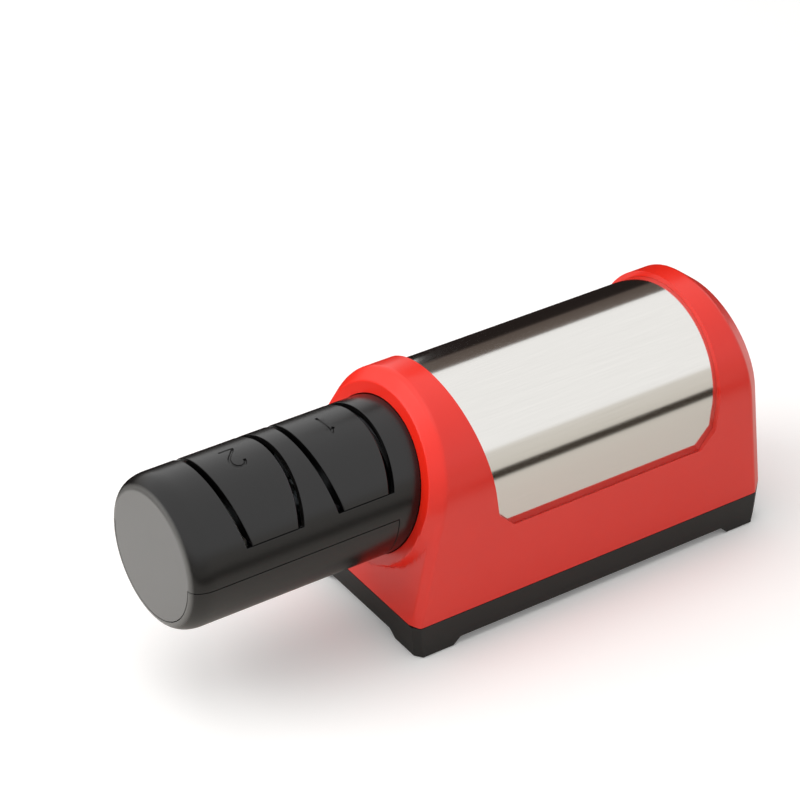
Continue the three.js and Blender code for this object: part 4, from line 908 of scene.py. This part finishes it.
def lean_out(angle, radius=SNOUT_RADIUS):
    """How far a slot's wall has leaned outwards at this angle round the tube, from the slot's floor."""
    return max(0.0, radius * math.cos(angle) - SLOT_FLOOR) * slope(SLOT_LEAN)


def snout_columns(angle):
    near, far = STAGES["fine"], STAGES["coarse"]
    half = OPENING_HALF + lean_out(angle)
    tray_end = max(TRAY_END, far + half + 1.1)
    keys = [CAP_EDGE, near - half, near + half, far - half, far + half, tray_end, SNOUT_TAIL]
    return subdivide(keys, SNOUT_CELLS)


CAP_DEPTH = 8.0
CAP_INSET = 4.4
CAP_STEPS = 10
cap_profile = []
for i in range(CAP_STEPS + 1):
    turn = math.pi / 2 * i / CAP_STEPS
    cap_profile.append((SNOUT_RADIUS - CAP_INSET * (1 - math.sin(turn)), CAP_DEPTH * (1 - math.cos(turn))))
flat_radii = [0.0, 8.0, 16.0, SNOUT_RADIUS - CAP_INSET - 0.3]

points = []
for angle in snout_angles:
    profile = [(r, 0.0) for r in flat_radii] + cap_profile + [(SNOUT_RADIUS, x) for x in snout_columns(angle)]
    points += [on_tube(x, r, angle) for r, x in profile]
row_length = len(points) // len(snout_angles)
tube_start = len(flat_radii) + len(cap_profile)
edges = [tube_start + sum(SNOUT_CELLS[:i]) for i in range(len(SNOUT_CELLS) + 1)]


def snout_cell(row, column):
    turn = min(row, len(snout_angles) - 1 - row)
    if turn >= SEAM_ROW and len(flat_radii) - 1 <= column < edges[5]:
        return False
    in_opening = edges[1] <= column < edges[2] or edges[3] <= column < edges[4]
    return not (turn < LEDGE_ROW and in_opening)


snout = new_piece(
    "snout_moulding",
    points,
    grid_faces(len(snout_angles), row_length, snout_cell, wrap=True),
    snout_abs,
    "sharpener",
    inside=(45.0, 0.0, AXIS),
    stands_for=["snout_body"],
)
wall(snout, SNOUT_WALL, 0.3)
print("snout", len(snout.data.polygons), "faces")

# %% Fittings inside the snout
FITTINGS = {
    "snout_bush_boss": [(6.3, 2.3), (9.3, 2.3), (9.3, 11.4), (9.0, 11.7), (6.6, 11.7), (6.3, 11.4)],
    "snout_shoulder": [(22.9, 81.7), (25.2, 81.7), (25.2, 82.8), (22.9, 82.8)],
    "snout_flange": [(27.4, 103.5), (31.0, 103.5), (31.0, 106.3), (27.4, 106.3)],
}
for name, profile in FITTINGS.items():
    turned(name, profile, black_abs, "sharpener")
print("snout fittings placed")

# %% [markdown]
# ## The swarf cover
# Grinding dust falls into the lower half of the snout, which pulls down to be emptied. It is a half tube
# with a shallow groove underneath to grip it by, and its two long edges carry a lip that slips inside
# the upper half.

# %% Swarf cover mesh
COVER_START = 8.3
COVER_END = 81.1
NOTCH = (12.5, 15.5)
NOTCH_DEPTH = 0.6
NOTCH_TURN = math.radians(44)
NOTCH_FADE = math.radians(6)
SWARF_WALL = 2.2
LIP_RADIUS = 24.8
LIP_TURN = (82.2, 100.0)
LIP_SPAN = (8.4, 78.9)
LIP_WALL = 1.4
low_angle = math.acos((SEAM_RISE - 0.3) / SNOUT_RADIUS)
cover_angles = spread(low_angle, 2 * math.pi - low_angle, 56)
cover_stations = (
    spread(COVER_START, NOTCH[0] - 0.3, 3) + [NOTCH[0]] + spread(NOTCH[0] + 0.3, NOTCH[1] - 0.3, 3)
    + [NOTCH[1]] + spread(NOTCH[1] + 0.3, COVER_END, 12)
)


def notch_share(angle):
    """How much of the groove's depth is left at this angle: all of it below, none at the sides."""
    return max(0.0, min(1.0, (NOTCH_TURN - abs(angle - math.pi)) / NOTCH_FADE))


points = []
for angle in cover_angles:
    profile = list(cap_profile)
    for x in cover_stations:
        sunk = NOTCH_DEPTH * notch_share(angle) if NOTCH[0] + 0.1 < x < NOTCH[1] - 0.1 else 0.0
        profile.append((SNOUT_RADIUS - sunk, x))
    points += [on_tube(x, r, angle) for r, x in profile]
swarf_cover = new_piece(
    "swarf_cover_moulding",
    points,
    grid_faces(len(cover_angles), len(profile)),
    snout_abs,
    "swarf_cover",
    inside=(45.0, 0.0, AXIS + 5),
    stands_for=["swarf_cover"],
    sharp=50,
)
wall(swarf_cover, SWARF_WALL, 0.25)
lip_angles = spread(*(math.radians(turn) for turn in LIP_TURN), 6)
lip_stations = spread(*LIP_SPAN, 6)
for side, name in ((1, "right"), (-1, "left")):
    points = [on_tube(x, LIP_RADIUS, side * angle) for angle in lip_angles for x in lip_stations]
    faces = grid_faces(len(lip_angles), len(lip_stations))
    lip = new_piece(
        "swarf_cover_lip_" + name, points, faces, black_abs, "swarf_cover", inside=(45.0, 0.0, AXIS)
    )
    wall(lip, LIP_WALL, 0.2)
print("swarf cover", len(swarf_cover.data.polygons), "faces")

# %% [markdown]
# ## The guide saddles
# Between each pair of slots sits a saddle with leaning flanks, which hold what is sharpened at the angle
# of the disc. The crown lies flush with the snout, and the flanks go on down into the slot. Each
# saddle is one open strip: up one flank, over the crown and down the other, with rounded shoulders. Its
# digit is a shallow round-bottomed groove, cut with a thin tube that is bent over the crown.

# %% Saddle mesh
SADDLE_HALF = 9.0
SADDLE_GAP = 0.3
FLANK_RADIUS = 21.3
SHOULDER = 0.55
SADDLE_WALL = 1.6
saddle_angle = math.acos((SLOT_FLOOR + SADDLE_GAP) / SNOUT_RADIUS)


def saddle_row(angle, centre):
    """The section of a saddle at an angle round the tube, from the foot of one flank to the other."""
    below = SNOUT_RADIUS - SHOULDER
    deep = min(below, max(FLANK_RADIUS, (SLOT_FLOOR + SADDLE_GAP) / math.cos(angle)))

    def half_at(radius):
        return SADDLE_HALF + (radius * math.cos(angle) - SLOT_FLOOR) * slope(SLOT_LEAN)

    top = half_at(SNOUT_RADIUS)
    foot = [(r, half_at(r)) for r in spread(deep, below, 4)]
    shoulder = curve_points(foot[-1], (SNOUT_RADIUS, top), (SNOUT_RADIUS, top - SHOULDER), 4)[1:]
    half = foot + shoulder
    crown = [(SNOUT_RADIUS, u) for u in spread(top - SHOULDER, SHOULDER - top, 10)[1:-1]]
    section = [(r, -u) for r, u in half] + [(r, -u) for r, u in crown] + [(r, u) for r, u in reversed(half)]
    return [on_tube(centre + u, r, angle) for r, u in section]


saddles = {}
for stage, centre in STAGES.items():
    saddle_rows = [saddle_row(angle, centre) for angle in spread(-saddle_angle, saddle_angle, 48)]
    saddle = new_piece(
        "saddle_" + stage,
        [p for row in saddle_rows for p in row],
        grid_faces(len(saddle_rows), len(saddle_rows[0])),
        black_abs,
        "sharpener",
        inside=(centre, 0.0, AXIS),
        stands_for=["guide_saddle_" + stage],
    )
    wall(saddle, SADDLE_WALL, 0.2)
    saddles[stage] = saddle
print("saddles", [len(s.data.polygons) for s in saddles.values()], "faces")

# %% Digits on the saddles
DIGIT_WIDTH = 5.6
DIGIT_HEIGHT = 10.6
DIGIT_MIDDLE = 1.0
GROOVE = 0.56
DIGITS = {
    "fine": [(-0.46, 0.24), (-0.4, 0.36), (-0.26, 0.46), (0.0, 0.5), (0.28, 0.45), (0.43, 0.33), (0.45, 0.2),
             (0.36, 0.04), (0.1, -0.13), (-0.22, -0.3), (-0.42, -0.42), (-0.47, -0.5), (0.47, -0.5)],
    "coarse": [(-0.3, 0.26), (-0.12, 0.36), (0.02, 0.5), (0.02, -0.5)],
}


def digit_tool(stage):
    """A thin tube along the digit's strokes, laid on the crown. It reads from the far side."""
    path = []
    for (au, av), (bu, bv) in zip(DIGITS[stage], DIGITS[stage][1:]):
        path += [(au + (bu - au) * t, av + (bv - av) * t) for t in spread(0.0, 1.0, 4)[:-1]]
    path.append(DIGITS[stage][-1])
    curve = bpy.data.curves.new("digit_" + stage, "CURVE")
    curve.dimensions = "3D"
    curve.bevel_depth = GROOVE * MM
    curve.bevel_resolution = 3
    curve.use_fill_caps = True
    spline = curve.splines.new("POLY")
    spline.points.add(len(path) - 1)
    for point, (u, v) in zip(spline.points, path):
        across = DIGIT_MIDDLE - v * DIGIT_HEIGHT
        place = on_tube(STAGES[stage] - u * DIGIT_WIDTH, SNOUT_RADIUS, -across / SNOUT_RADIUS)
        point.co = (*metres(place), 1.0)
    line = show(bpy.data.objects.new("digit_" + stage, curve))
    bpy.context.view_layer.update()
    seen = line.evaluated_get(bpy.context.evaluated_depsgraph_get())
    tool = show(bpy.data.objects.new("digit_tool_" + stage, bpy.data.meshes.new_from_object(seen)))
    bpy.data.objects.remove(line)
    # A curve's end caps are loose, and the cut needs a closed tube.
    edit = bmesh.new()
    edit.from_mesh(tool.data)
    bmesh.ops.remove_doubles(edit, verts=edit.verts, dist=WELD)
    bmesh.ops.recalc_face_normals(edit, faces=edit.faces)
    edit.to_mesh(tool.data)
    edit.free()
    return tool


for stage, saddle in saddles.items():
    carve(saddle, digit_tool(stage))
    sharpen(saddle, 25)
print("digits cut", [len(s.data.polygons) for s in saddles.values()], "faces")

# %% [markdown]
# ## The grinding discs
# Behind each flank spins a shallow cone of abrasive on a steel hub. The pairs are sprung apart, and each
# disc gives way inwards under pressure. They show through the slots, so they get fine turned profiles in
# place of the coarser CAD solids.

# %% Disc meshes
CONE = 9.0
GAUGE = 10.8
FACE_FROM_CENTRE = 10.0
DISC_RADIUS = 20.0
DISC_BEVEL = 0.3
GRIT_BORE = 9.0
GRIT_BACK = 1.45
HUB_BORE = 4.3
HUB_RADIUS = 8.0
HUB_BEVEL = 0.4
HUB_ENDS = (-2.4, 5.6)
HUB_FACE = 1.75
RIM_BACK = 2.95
PIN_GROOVE = 1.3
PIN_REACH = 3.4


def cone_depth(radius):
    return (radius - GAUGE) * slope(CONE)


bevelled = DISC_RADIUS - DISC_BEVEL
rim, bore = cone_depth(DISC_RADIUS), cone_depth(GRIT_BORE)
rim_back = rim + RIM_BACK
for stage, centre in STAGES.items():
    for side, facing in (("front", 1), ("rear", -1)):
        name = stage + "_" + side
        face = centre - facing * FACE_FROM_CENTRE
        origin = (face, 0.0, AXIS)
        grit = [(GRIT_BORE, bore), (bevelled, cone_depth(bevelled)), (DISC_RADIUS, rim + DISC_BEVEL),
                (DISC_RADIUS, rim + GRIT_BACK), (GRIT_BORE, bore + GRIT_BACK)]
        turned(
            "grit_" + name,
            [(r, facing * x) for r, x in grit],
            ceramic_coat if stage == "fine" else diamond_coat,
            "disc_" + name,
            centre=origin,
            stands_for=["abrasive_" + name],
        )
        hub = [(HUB_BORE, HUB_ENDS[0]), (HUB_RADIUS - HUB_BEVEL, HUB_ENDS[0]),
               (HUB_RADIUS, HUB_ENDS[0] + HUB_BEVEL), (HUB_RADIUS, cone_depth(HUB_RADIUS) + HUB_FACE),
               (DISC_RADIUS, rim + HUB_FACE), (DISC_RADIUS, rim_back), (bevelled, rim_back + DISC_BEVEL),
               (HUB_RADIUS, rim_back + DISC_BEVEL), (HUB_RADIUS, HUB_ENDS[1] - HUB_BEVEL),
               (HUB_RADIUS - HUB_BEVEL, HUB_ENDS[1]), (HUB_BORE, HUB_ENDS[1])]
        disc_hub = turned("hub_" + name, [(r, facing * x) for r, x in hub], zinc_plate, None, centre=origin)
        groove = rectangle(0, AXIS, 21, PIN_GROOVE)
        carve(disc_hub, prism("pin_groove", groove, "X", *sorted((face - facing * PIN_REACH, face))))
        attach(disc_hub, "disc_" + name)
        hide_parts("disc_hub_" + name)
print("discs placed:", len(STAGES) * 2)

# %% [markdown]
# The spring between two hubs is squeezed when a disc gives way. Each half of its helix is a piece of its
# own that starts in the middle.

# %% Disc springs
WIRE_RADIUS = 0.6
SPRING_RADIUS = 6.0
SPRING_HALF = 3.7
HALF_TURNS = 2
COIL_STEPS = 32
WIRE_SIDES = 10


def half_spring(stage, side, way):
    """The half of a stage's spring that runs from its middle one way to a hub."""
    centre = STAGES[stage]
    steps = HALF_TURNS * COIL_STEPS
    points = []
    for i in range(steps + 1):
        turn = -way * 2 * math.pi * i / COIL_STEPS
        x = centre + way * SPRING_HALF * i / steps
        for u, v in circle(WIRE_RADIUS, steps=WIRE_SIDES):
            points.append(on_tube(x + v, SPRING_RADIUS + u, turn))
    ends = [tuple(range(WIRE_SIDES)), tuple(range(steps * WIRE_SIDES, (steps + 1) * WIRE_SIDES))]
    faces = ends + grid_faces(steps + 1, WIRE_SIDES, close=True)
    half = new_piece("spring_" + stage + "_" + side, points, faces, ground_steel, None)
    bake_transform(half)
    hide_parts("disc_spring_" + stage)


for stage in STAGES:
    half_spring(stage, "front", -1)
    half_spring(stage, "rear", 1)
print("springs placed:", 2 * len(STAGES), "halves")

# %% [markdown]
# ## The rear wall's fittings
# The rear isn't seen in the photograph. A mains sharpener of this kind has a rocker switch and a two-pin
# inlet there. Both are thermoset mouldings with a flange on the wall. The rocker is dished, so that it is
# found by touch, and carries the usual line and ring.

# %% Switch
WELL_SHAPE = rounded_rectangle(10.0, 15.6, 0.4)
ROCKER_TILT = math.radians(8)
ROCKER_HALF = 4.7
ROCKER_REACH = 7.2
ROCKER_STEPS = 12
MARK_MIDDLE = 4.4
INK = 0.06

bezel = wall_prism("switch_bezel", SWITCH_HEIGHT, rounded_rectangle(15.0, 21.0, 1.6), 0.3, 2.3)
switch_shape = rounded_rectangle(12.4, 18.6, 0.4)
switch_box = wall_prism("switch_box", SWITCH_HEIGHT, switch_shape, -13.0, 0.35, "sharpener")
carve(bezel, wall_prism("switch_well", SWITCH_HEIGHT, WELL_SHAPE, -4.0, 4.0))
soften(bezel, 0.4, angle=50)
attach(bezel, "sharpener")
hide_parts("switch_body")
carve(switch_box, wall_prism("box_well", SWITCH_HEIGHT, WELL_SHAPE, -3.7, 1.0))


def rocker_surface(v):
    """How far the dished rocker stands out of the wall at a height v on it."""
    return 2.6 - 1.3 * math.cos(math.pi / 2 * v / ROCKER_REACH)


def on_rocker(w, u, v):
    """A point of the rocker's own frame, tilted about its pivot."""
    tilted_w = w * math.cos(ROCKER_TILT) + v * math.sin(ROCKER_TILT)
    tilted_v = -w * math.sin(ROCKER_TILT) + v * math.cos(ROCKER_TILT)
    return on_rear_wall(SWITCH_HEIGHT, tilted_w, u, tilted_v)


dish = [(rocker_surface(v), v) for v in spread(-ROCKER_REACH, ROCKER_REACH, ROCKER_STEPS)]
rocker_profile = [(-3.6, 0.0), (-1.8, -5.9)] + dish + [(-1.8, 5.9)]
points = [on_rocker(w, u, v) for u in (-ROCKER_HALF, ROCKER_HALF) for w, v in rocker_profile]
faces = band_faces(len(rocker_profile))
rocker = new_piece("rocker_cap", points, faces, black_abs, "rocker", stands_for=["switch_rocker"])
soften(rocker, 0.35, angle=45)
print("rocker", len(rocker.data.polygons), "faces")


# %% Switch marks
def mark(name, *rings):
    """A thin printed mark within a closed outline of (u, v), or between two."""
    points = [on_rocker(rocker_surface(v) + 0.04, u, v) for ring in rings for u, v in ring]
    count = len(rings[0])
    faces = [tuple(range(count))] if len(rings) == 1 else grid_faces(2, count, close=True)
    made = new_piece(name, points, faces, marking_white, "rocker", inside=on_rocker(-20.0, 0.0, 0.0))
    film = made.modifiers.new("film", "SOLIDIFY")
    film.thickness = INK * MM
    film.offset = 0
    settle(made)


mark("switch_mark_ring", circle(0.9, (0.0, -MARK_MIDDLE)), circle(1.25, (0.0, -MARK_MIDDLE)))
mark("switch_mark_line", rectangle(0.0, MARK_MIDDLE, 0.2, 1.2))
print("switch marks printed")

# %% Inlet
PIN_ACROSS = 4.3
PIN_STEPS = 24
PIN_PROFILE = [(0.01, -12.3), (1.2, -12.3), (1.2, -2.0), (1.05, -1.3), (0.6, -0.95), (0.01, -0.9)]

inlet = wall_prism("inlet_flange", INLET_HEIGHT, rounded_rectangle(25.0, 15.0, 2.0), 0.3, 2.1)
inlet_shape = rounded_rectangle(20.0, 12.0, 0.5)
inlet_box = wall_prism("inlet_box", INLET_HEIGHT, inlet_shape, -16.0, 0.35, "sharpener")


def figure_eight(radius, pitch, waist):
    """Two circles joined by a slightly narrower waist."""
    outline = []
    for side in (1, -1):
        start = -math.pi / 2 if side > 0 else math.pi / 2
        for i in range(17):
            angle = start + math.pi * i / 16
            outline.append((side * pitch / 2 + radius * math.cos(angle), radius * math.sin(angle)))
        outline.append((0.0, side * waist))
    return outline


socket = figure_eight(3.8, 7.0, 3.3)
carve(inlet, wall_prism("socket_cut", INLET_HEIGHT, socket, -4.0, 4.0))
carve(inlet_box, wall_prism("socket_deep", INLET_HEIGHT, socket, -9.9, 4.0))
soften(inlet, 0.35, angle=50)
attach(inlet, "sharpener")
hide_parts("inlet_body")


def inlet_pin(name, side):
    points = []
    for i in range(PIN_STEPS):
        angle = 2 * math.pi * i / PIN_STEPS
        for radius, w in PIN_PROFILE:
            across = side * PIN_ACROSS + radius * math.cos(angle)
            points.append(on_rear_wall(INLET_HEIGHT, w, across, radius * math.sin(angle)))
    faces = grid_faces(PIN_STEPS, len(PIN_PROFILE), wrap=True, close=True)
    pin = new_piece("socket_pin_" + name, points, faces, brass, None)
    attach(pin, "sharpener")
    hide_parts("inlet_pin_" + name)


inlet_pin("right", -1)
inlet_pin("left", 1)
print("inlet placed")

# %% [markdown]
# ## The mechanism
# Everything inside keeps its CAD shape, because it is only seen when the part is taken apart or looked at
# through a slot. Each of these nodes gets the finish of its real material.

# %% Finishes for the mechanism
drive_pins = ["drive_pin_" + stage + "_" + side for stage in STAGES for side in ("front", "rear")]
FINISHES = {
    grey_nylon: ["cover_frame", "bearing_carrier", "motor_cradle"],
    bronze: ["end_bush"],
    wool_felt: ["felt_seal"],
    ground_steel: ["bearing_outer_ring", "bearing_inner_ring", "spindle_shaft", "motor_shaft",
                   "armature_core", *drive_pins],
    zinc_plate: ["coupling_spindle_hub", "coupling_motor_hub", "motor_front_bell", "motor_can",
                 "motor_bracket", "motor_strap", "snout_screw_1", "snout_screw_2", "snout_screw_3"],
    red_urethane: ["coupling_spider"],
    white_nylon: ["motor_end_cap", "cooling_fan"],
    board_laminate: ["circuit_board"],
    shrink_sleeve: ["capacitor"],
    thermoset: ["bridge_rectifier"],
}
for finish, names in FINISHES.items():
    for name in names:
        mesh = nodes[name].data
        mesh.materials.clear()
        mesh.materials.append(finish)
        mesh.shade_smooth()
        mesh.set_sharp_from_angle(angle=math.radians(35))
print("finished nodes:", sum(len(names) for names in FINISHES.values()))

# %% [markdown]
# ## The floor and the light
# The sharpener stands on a plain white floor, which keeps the object's shadow. A faint glow that only the
# camera meets lifts the paper to white, so the lamps can stay at a plain level. Polished steel and satin
# plastic show what is round them, and an even white sweep would leave them flat. So glossy surfaces find
# the floor as strips: paper under the object, greyer on its near side as a painted shade in reflections,
# a dark gap past each edge of it, and a pale floor beyond the near one.

# %% Floor
FLOOR_GLOW = 0.12
REACH = 3.0
FADE_TO_WHITE = (0.4, 0.8)
# What glossy surfaces find at a distance in metres across the floor, from the camera's side to the far side.
# The greyer paper from -0.17 to 0 is painted shade, which only shows in reflections.
STRIPS = [(-0.35, "#d9d4cc"), (-0.34, "#322a21"), (-0.19, "#322a21"), (-0.17, "#d6d1c9"), (0.0, "#d6d1c9"),
          (0.04, "#faf7f4"), (0.115, "#faf7f4"), (0.135, "#231d1b")]
NEAR_EDGE = (-0.17, -0.19)
FAR_EDGE = (0.115, 0.135)
REAR_PART = (0.0, 0.06)


def colour_stops(ramp, stops, low, high):
    """Gives a colour ramp its stops, each at its value between low and high, and returns its colour."""
    elements = ramp.color_ramp.elements
    for value, colour in stops:
        stop = elements.new((value - low) / (high - low))
        stop.color = linear(colour)
    elements.remove(elements[0])
    elements.remove(elements[-1])
    return ramp.outputs[0]


def sheet(name, corners, paint_name):
    """One flat face in metres, with a material that has no nodes yet."""
    mesh = bpy.data.meshes.new(name)
    mesh.from_pydata(corners, [], [(0, 1, 2, 3)])
    paint = bpy.data.materials.new(paint_name)
    mesh.materials.append(paint)
    return show(bpy.data.objects.new(name, mesh)), empty_tree(paint)


floor, tree = sheet("floor", [(x, y, 0) for x, y in rectangle(0, 0, REACH, REACH)], "white_sweep_paper")
path = add_node(tree, "ShaderNodeLightPath").outputs
place = add_node(tree, "ShaderNodeTexCoord").outputs["Object"]
paper = add_node(tree, "ShaderNodeBsdfDiffuse", {"Color": linear("#fbfaf8")}).outputs[0]
links = {0: path["Is Camera Ray"], 1: FLOOR_GLOW}
glow = add_node(tree, "ShaderNodeMath", links, operation="MULTIPLY").outputs[0]
lift = add_node(tree, "ShaderNodeEmission", {"Color": linear("#ffffff"), "Strength": glow}).outputs[0]
lifted = add_node(tree, "ShaderNodeAddShader", {0: paper, 1: lift}).outputs[0]
far_off = add_node(tree, "ShaderNodeVectorMath", {0: place}, operation="LENGTH").outputs["Value"]
links = {"Value": far_off, "From Min": FADE_TO_WHITE[0], "From Max": FADE_TO_WHITE[1]}
fading = add_node(tree, "ShaderNodeMapRange", links).outputs[0]
links = {0: fading, 1: path["Is Camera Ray"]}
open_floor = add_node(tree, "ShaderNodeMath", links, operation="MULTIPLY").outputs[0]
white = add_node(tree, "ShaderNodeEmission", {"Color": linear("#ffffff"), "Strength": 1.0}).outputs[0]
ground = add_node(tree, "ShaderNodeMixShader", {0: open_floor, 1: lifted, 2: white}).outputs[0]
spot = add_node(tree, "ShaderNodeSeparateXYZ", {0: place}).outputs
across = add_node(tree, "ShaderNodeMapRange", {"Value": spot[1], "From Min": -0.5, "From Max": 0.5})
tones = colour_stops(add_node(tree, "ShaderNodeValToRGB", {0: across.outputs[0]}), STRIPS, -0.5, 0.5)
top = add_node(tree, "ShaderNodeBsdfDiffuse", {"Color": tones}).outputs[0]
shining = add_node(tree, "ShaderNodeEmission", {"Color": tones, "Strength": 1.0}).outputs[0]
past_near, past_far, rearward = (
    add_node(tree, "ShaderNodeMapRange", {"Value": value, "From Min": start, "From Max": end}).outputs[0]
    for value, (start, end) in ((spot[1], NEAR_EDGE), (spot[1], FAR_EDGE), (spot[0], REAR_PART))
)
beside = add_node(tree, "ShaderNodeMath", {0: past_near, 1: past_far}, operation="MAXIMUM").outputs[0]
beyond = add_node(tree, "ShaderNodeMath", {0: beside, 1: rearward}, operation="MULTIPLY").outputs[0]
strips = add_node(tree, "ShaderNodeMixShader", {0: beyond, 1: top, 2: shining}).outputs[0]
seen = add_node(tree, "ShaderNodeMixShader", {0: path["Is Glossy Ray"], 1: ground, 2: strips})
add_node(tree, "ShaderNodeOutputMaterial", {"Surface": seen.outputs[0]})
print("floor", 2 * REACH, "m wide")

# %% [markdown]
# A dark card stands behind the housing, upright and out of the picture, which is the usual way to give
# polished metal an edge. Only glossy rays meet it. It is black below and brownish above, and it draws the
# two dark bands along the top of the steel.

# %% Dark card
CARD_PLACE = 0.2
CARD_ENDS = (0.1, 0.45)
CARD_HEIGHT = 0.284
CARD_TONES = [(0.15, "#231d1b"), (0.165, "#5c524c"), (CARD_HEIGHT, "#6a605a")]
corners = [(CARD_ENDS[0], 0), (CARD_ENDS[1], 0), (CARD_ENDS[1], CARD_HEIGHT), (CARD_ENDS[0], CARD_HEIGHT)]
card, tree = sheet("dark_card", [(x, CARD_PLACE, z) for x, z in corners], "black_and_brown_card")
for kind in ("camera", "diffuse", "transmission", "volume_scatter", "shadow"):
    setattr(card, "visible_" + kind, False)
place = add_node(tree, "ShaderNodeTexCoord").outputs["Object"]
rise = add_node(tree, "ShaderNodeSeparateXYZ", {0: place}).outputs[2]
tones = colour_stops(add_node(tree, "ShaderNodeValToRGB", {0: rise}), CARD_TONES, 0.0, 1.0)
card_look = add_node(tree, "ShaderNodeEmission", {"Color": tones, "Strength": 1.0})
add_node(tree, "ShaderNodeOutputMaterial", {"Surface": card_look.outputs[0]})
print("dark card", CARD_HEIGHT, "m tall")

# %% [markdown]
# Two large soft panels light the object, one from the upper left behind it and one from above, so the
# shadow falls towards the camera and stays soft. The rest comes evenly from the world, which is white to
# the camera. Glossy and transmitted rays find a white dome overhead, which turns greyer towards the near
# horizon. That edge draws a clear line along the steel.

# %% Lights
AIM = (0, 0, 0.05)
DAYLIGHT = 0.45
# Degrees round the sharpener's axis, from the near horizon at 0 over the top at 90 to the far one at 180.
BANDS = [(-12, "#d9d4cc"), (13, "#dedad3"), (16, "#ffffff"), (160, "#ffffff"), (180, "#b9b6b1")]
# For directions that lead away from the rear, by how far they point up, from -1 to 1. Only paler greys.
DOME = [(-0.3, "#8d8a86"), (0.05, "#b9b6b1"), (0.4, "#ffffff")]
REARWARD = (0.1, 0.35)
FULL_TURN = (-math.pi, math.pi)
UP_AND_DOWN = (-1.0, 1.0)


def soft_panel(name, place, side, power):
    """A square light in metres, turned to face the sharpener."""
    data = bpy.data.lights.new(name, "AREA")
    data.shape = "RECTANGLE"
    data.size = side
    data.size_y = side
    data.energy = power
    panel = show(bpy.data.objects.new(name, data))
    panel.location = place
    panel.rotation_euler = (Vector(AIM) - Vector(place)).to_track_quat("-Z", "Y").to_euler()
    # Glossy surfaces mirror the world's bright dome in place of the panels.
    panel.visible_glossy = False


soft_panel("left_panel", (-1.1, 0.5, 0.7), 1.0, 12)
soft_panel("top_panel", (-0.2, 0.1, 1.3), 1.3, 9)

world = bpy.data.worlds.new("studio")
bpy.context.scene.world = world
tree = empty_tree(world)
path = add_node(tree, "ShaderNodeLightPath").outputs
view = add_node(tree, "ShaderNodeTexCoord").outputs["Generated"]
direction = add_node(tree, "ShaderNodeSeparateXYZ", {0: view}).outputs
forward = add_node(tree, "ShaderNodeMath", {0: direction[1], 1: -1.0}, operation="MULTIPLY").outputs[0]
turn = add_node(tree, "ShaderNodeMath", {0: direction[2], 1: forward}, operation="ARCTAN2").outputs[0]
share, height, rearward = (
    add_node(tree, "ShaderNodeMapRange", {"Value": value, "From Min": start, "From Max": end}).outputs[0]
    for value, (start, end) in ((turn, FULL_TURN), (direction[2], UP_AND_DOWN), (direction[0], REARWARD))
)
bands = colour_stops(add_node(tree, "ShaderNodeValToRGB", {0: share}), BANDS, -180, 180)
dome = colour_stops(add_node(tree, "ShaderNodeValToRGB", {0: height}), DOME, -1.0, 1.0)
links = {"Factor": rearward, "A": dome, "B": bands}
round_about = add_node(tree, "ShaderNodeMix", links, data_type="RGBA").outputs[2]
mirror = add_node(tree, "ShaderNodeBackground", {"Color": round_about, "Strength": 1.0}).outputs[0]
studio = add_node(tree, "ShaderNodeBackground", {"Color": linear("#ffffff"), "Strength": DAYLIGHT}).outputs[0]
white = add_node(tree, "ShaderNodeBackground", {"Color": linear("#ffffff"), "Strength": 1.0}).outputs[0]
links = {0: path["Is Glossy Ray"], 1: path["Is Transmission Ray"]}
mirrored = add_node(tree, "ShaderNodeMath", links, operation="MAXIMUM").outputs[0]
lit = add_node(tree, "ShaderNodeMixShader", {0: mirrored, 1: studio, 2: mirror}).outputs[0]
seen = add_node(tree, "ShaderNodeMixShader", {0: path["Is Camera Ray"], 1: lit, 2: white}).outputs[0]
add_node(tree, "ShaderNodeOutputWorld", {"Surface": seen})
bpy.context.scene.view_settings.view_transform = "Standard"
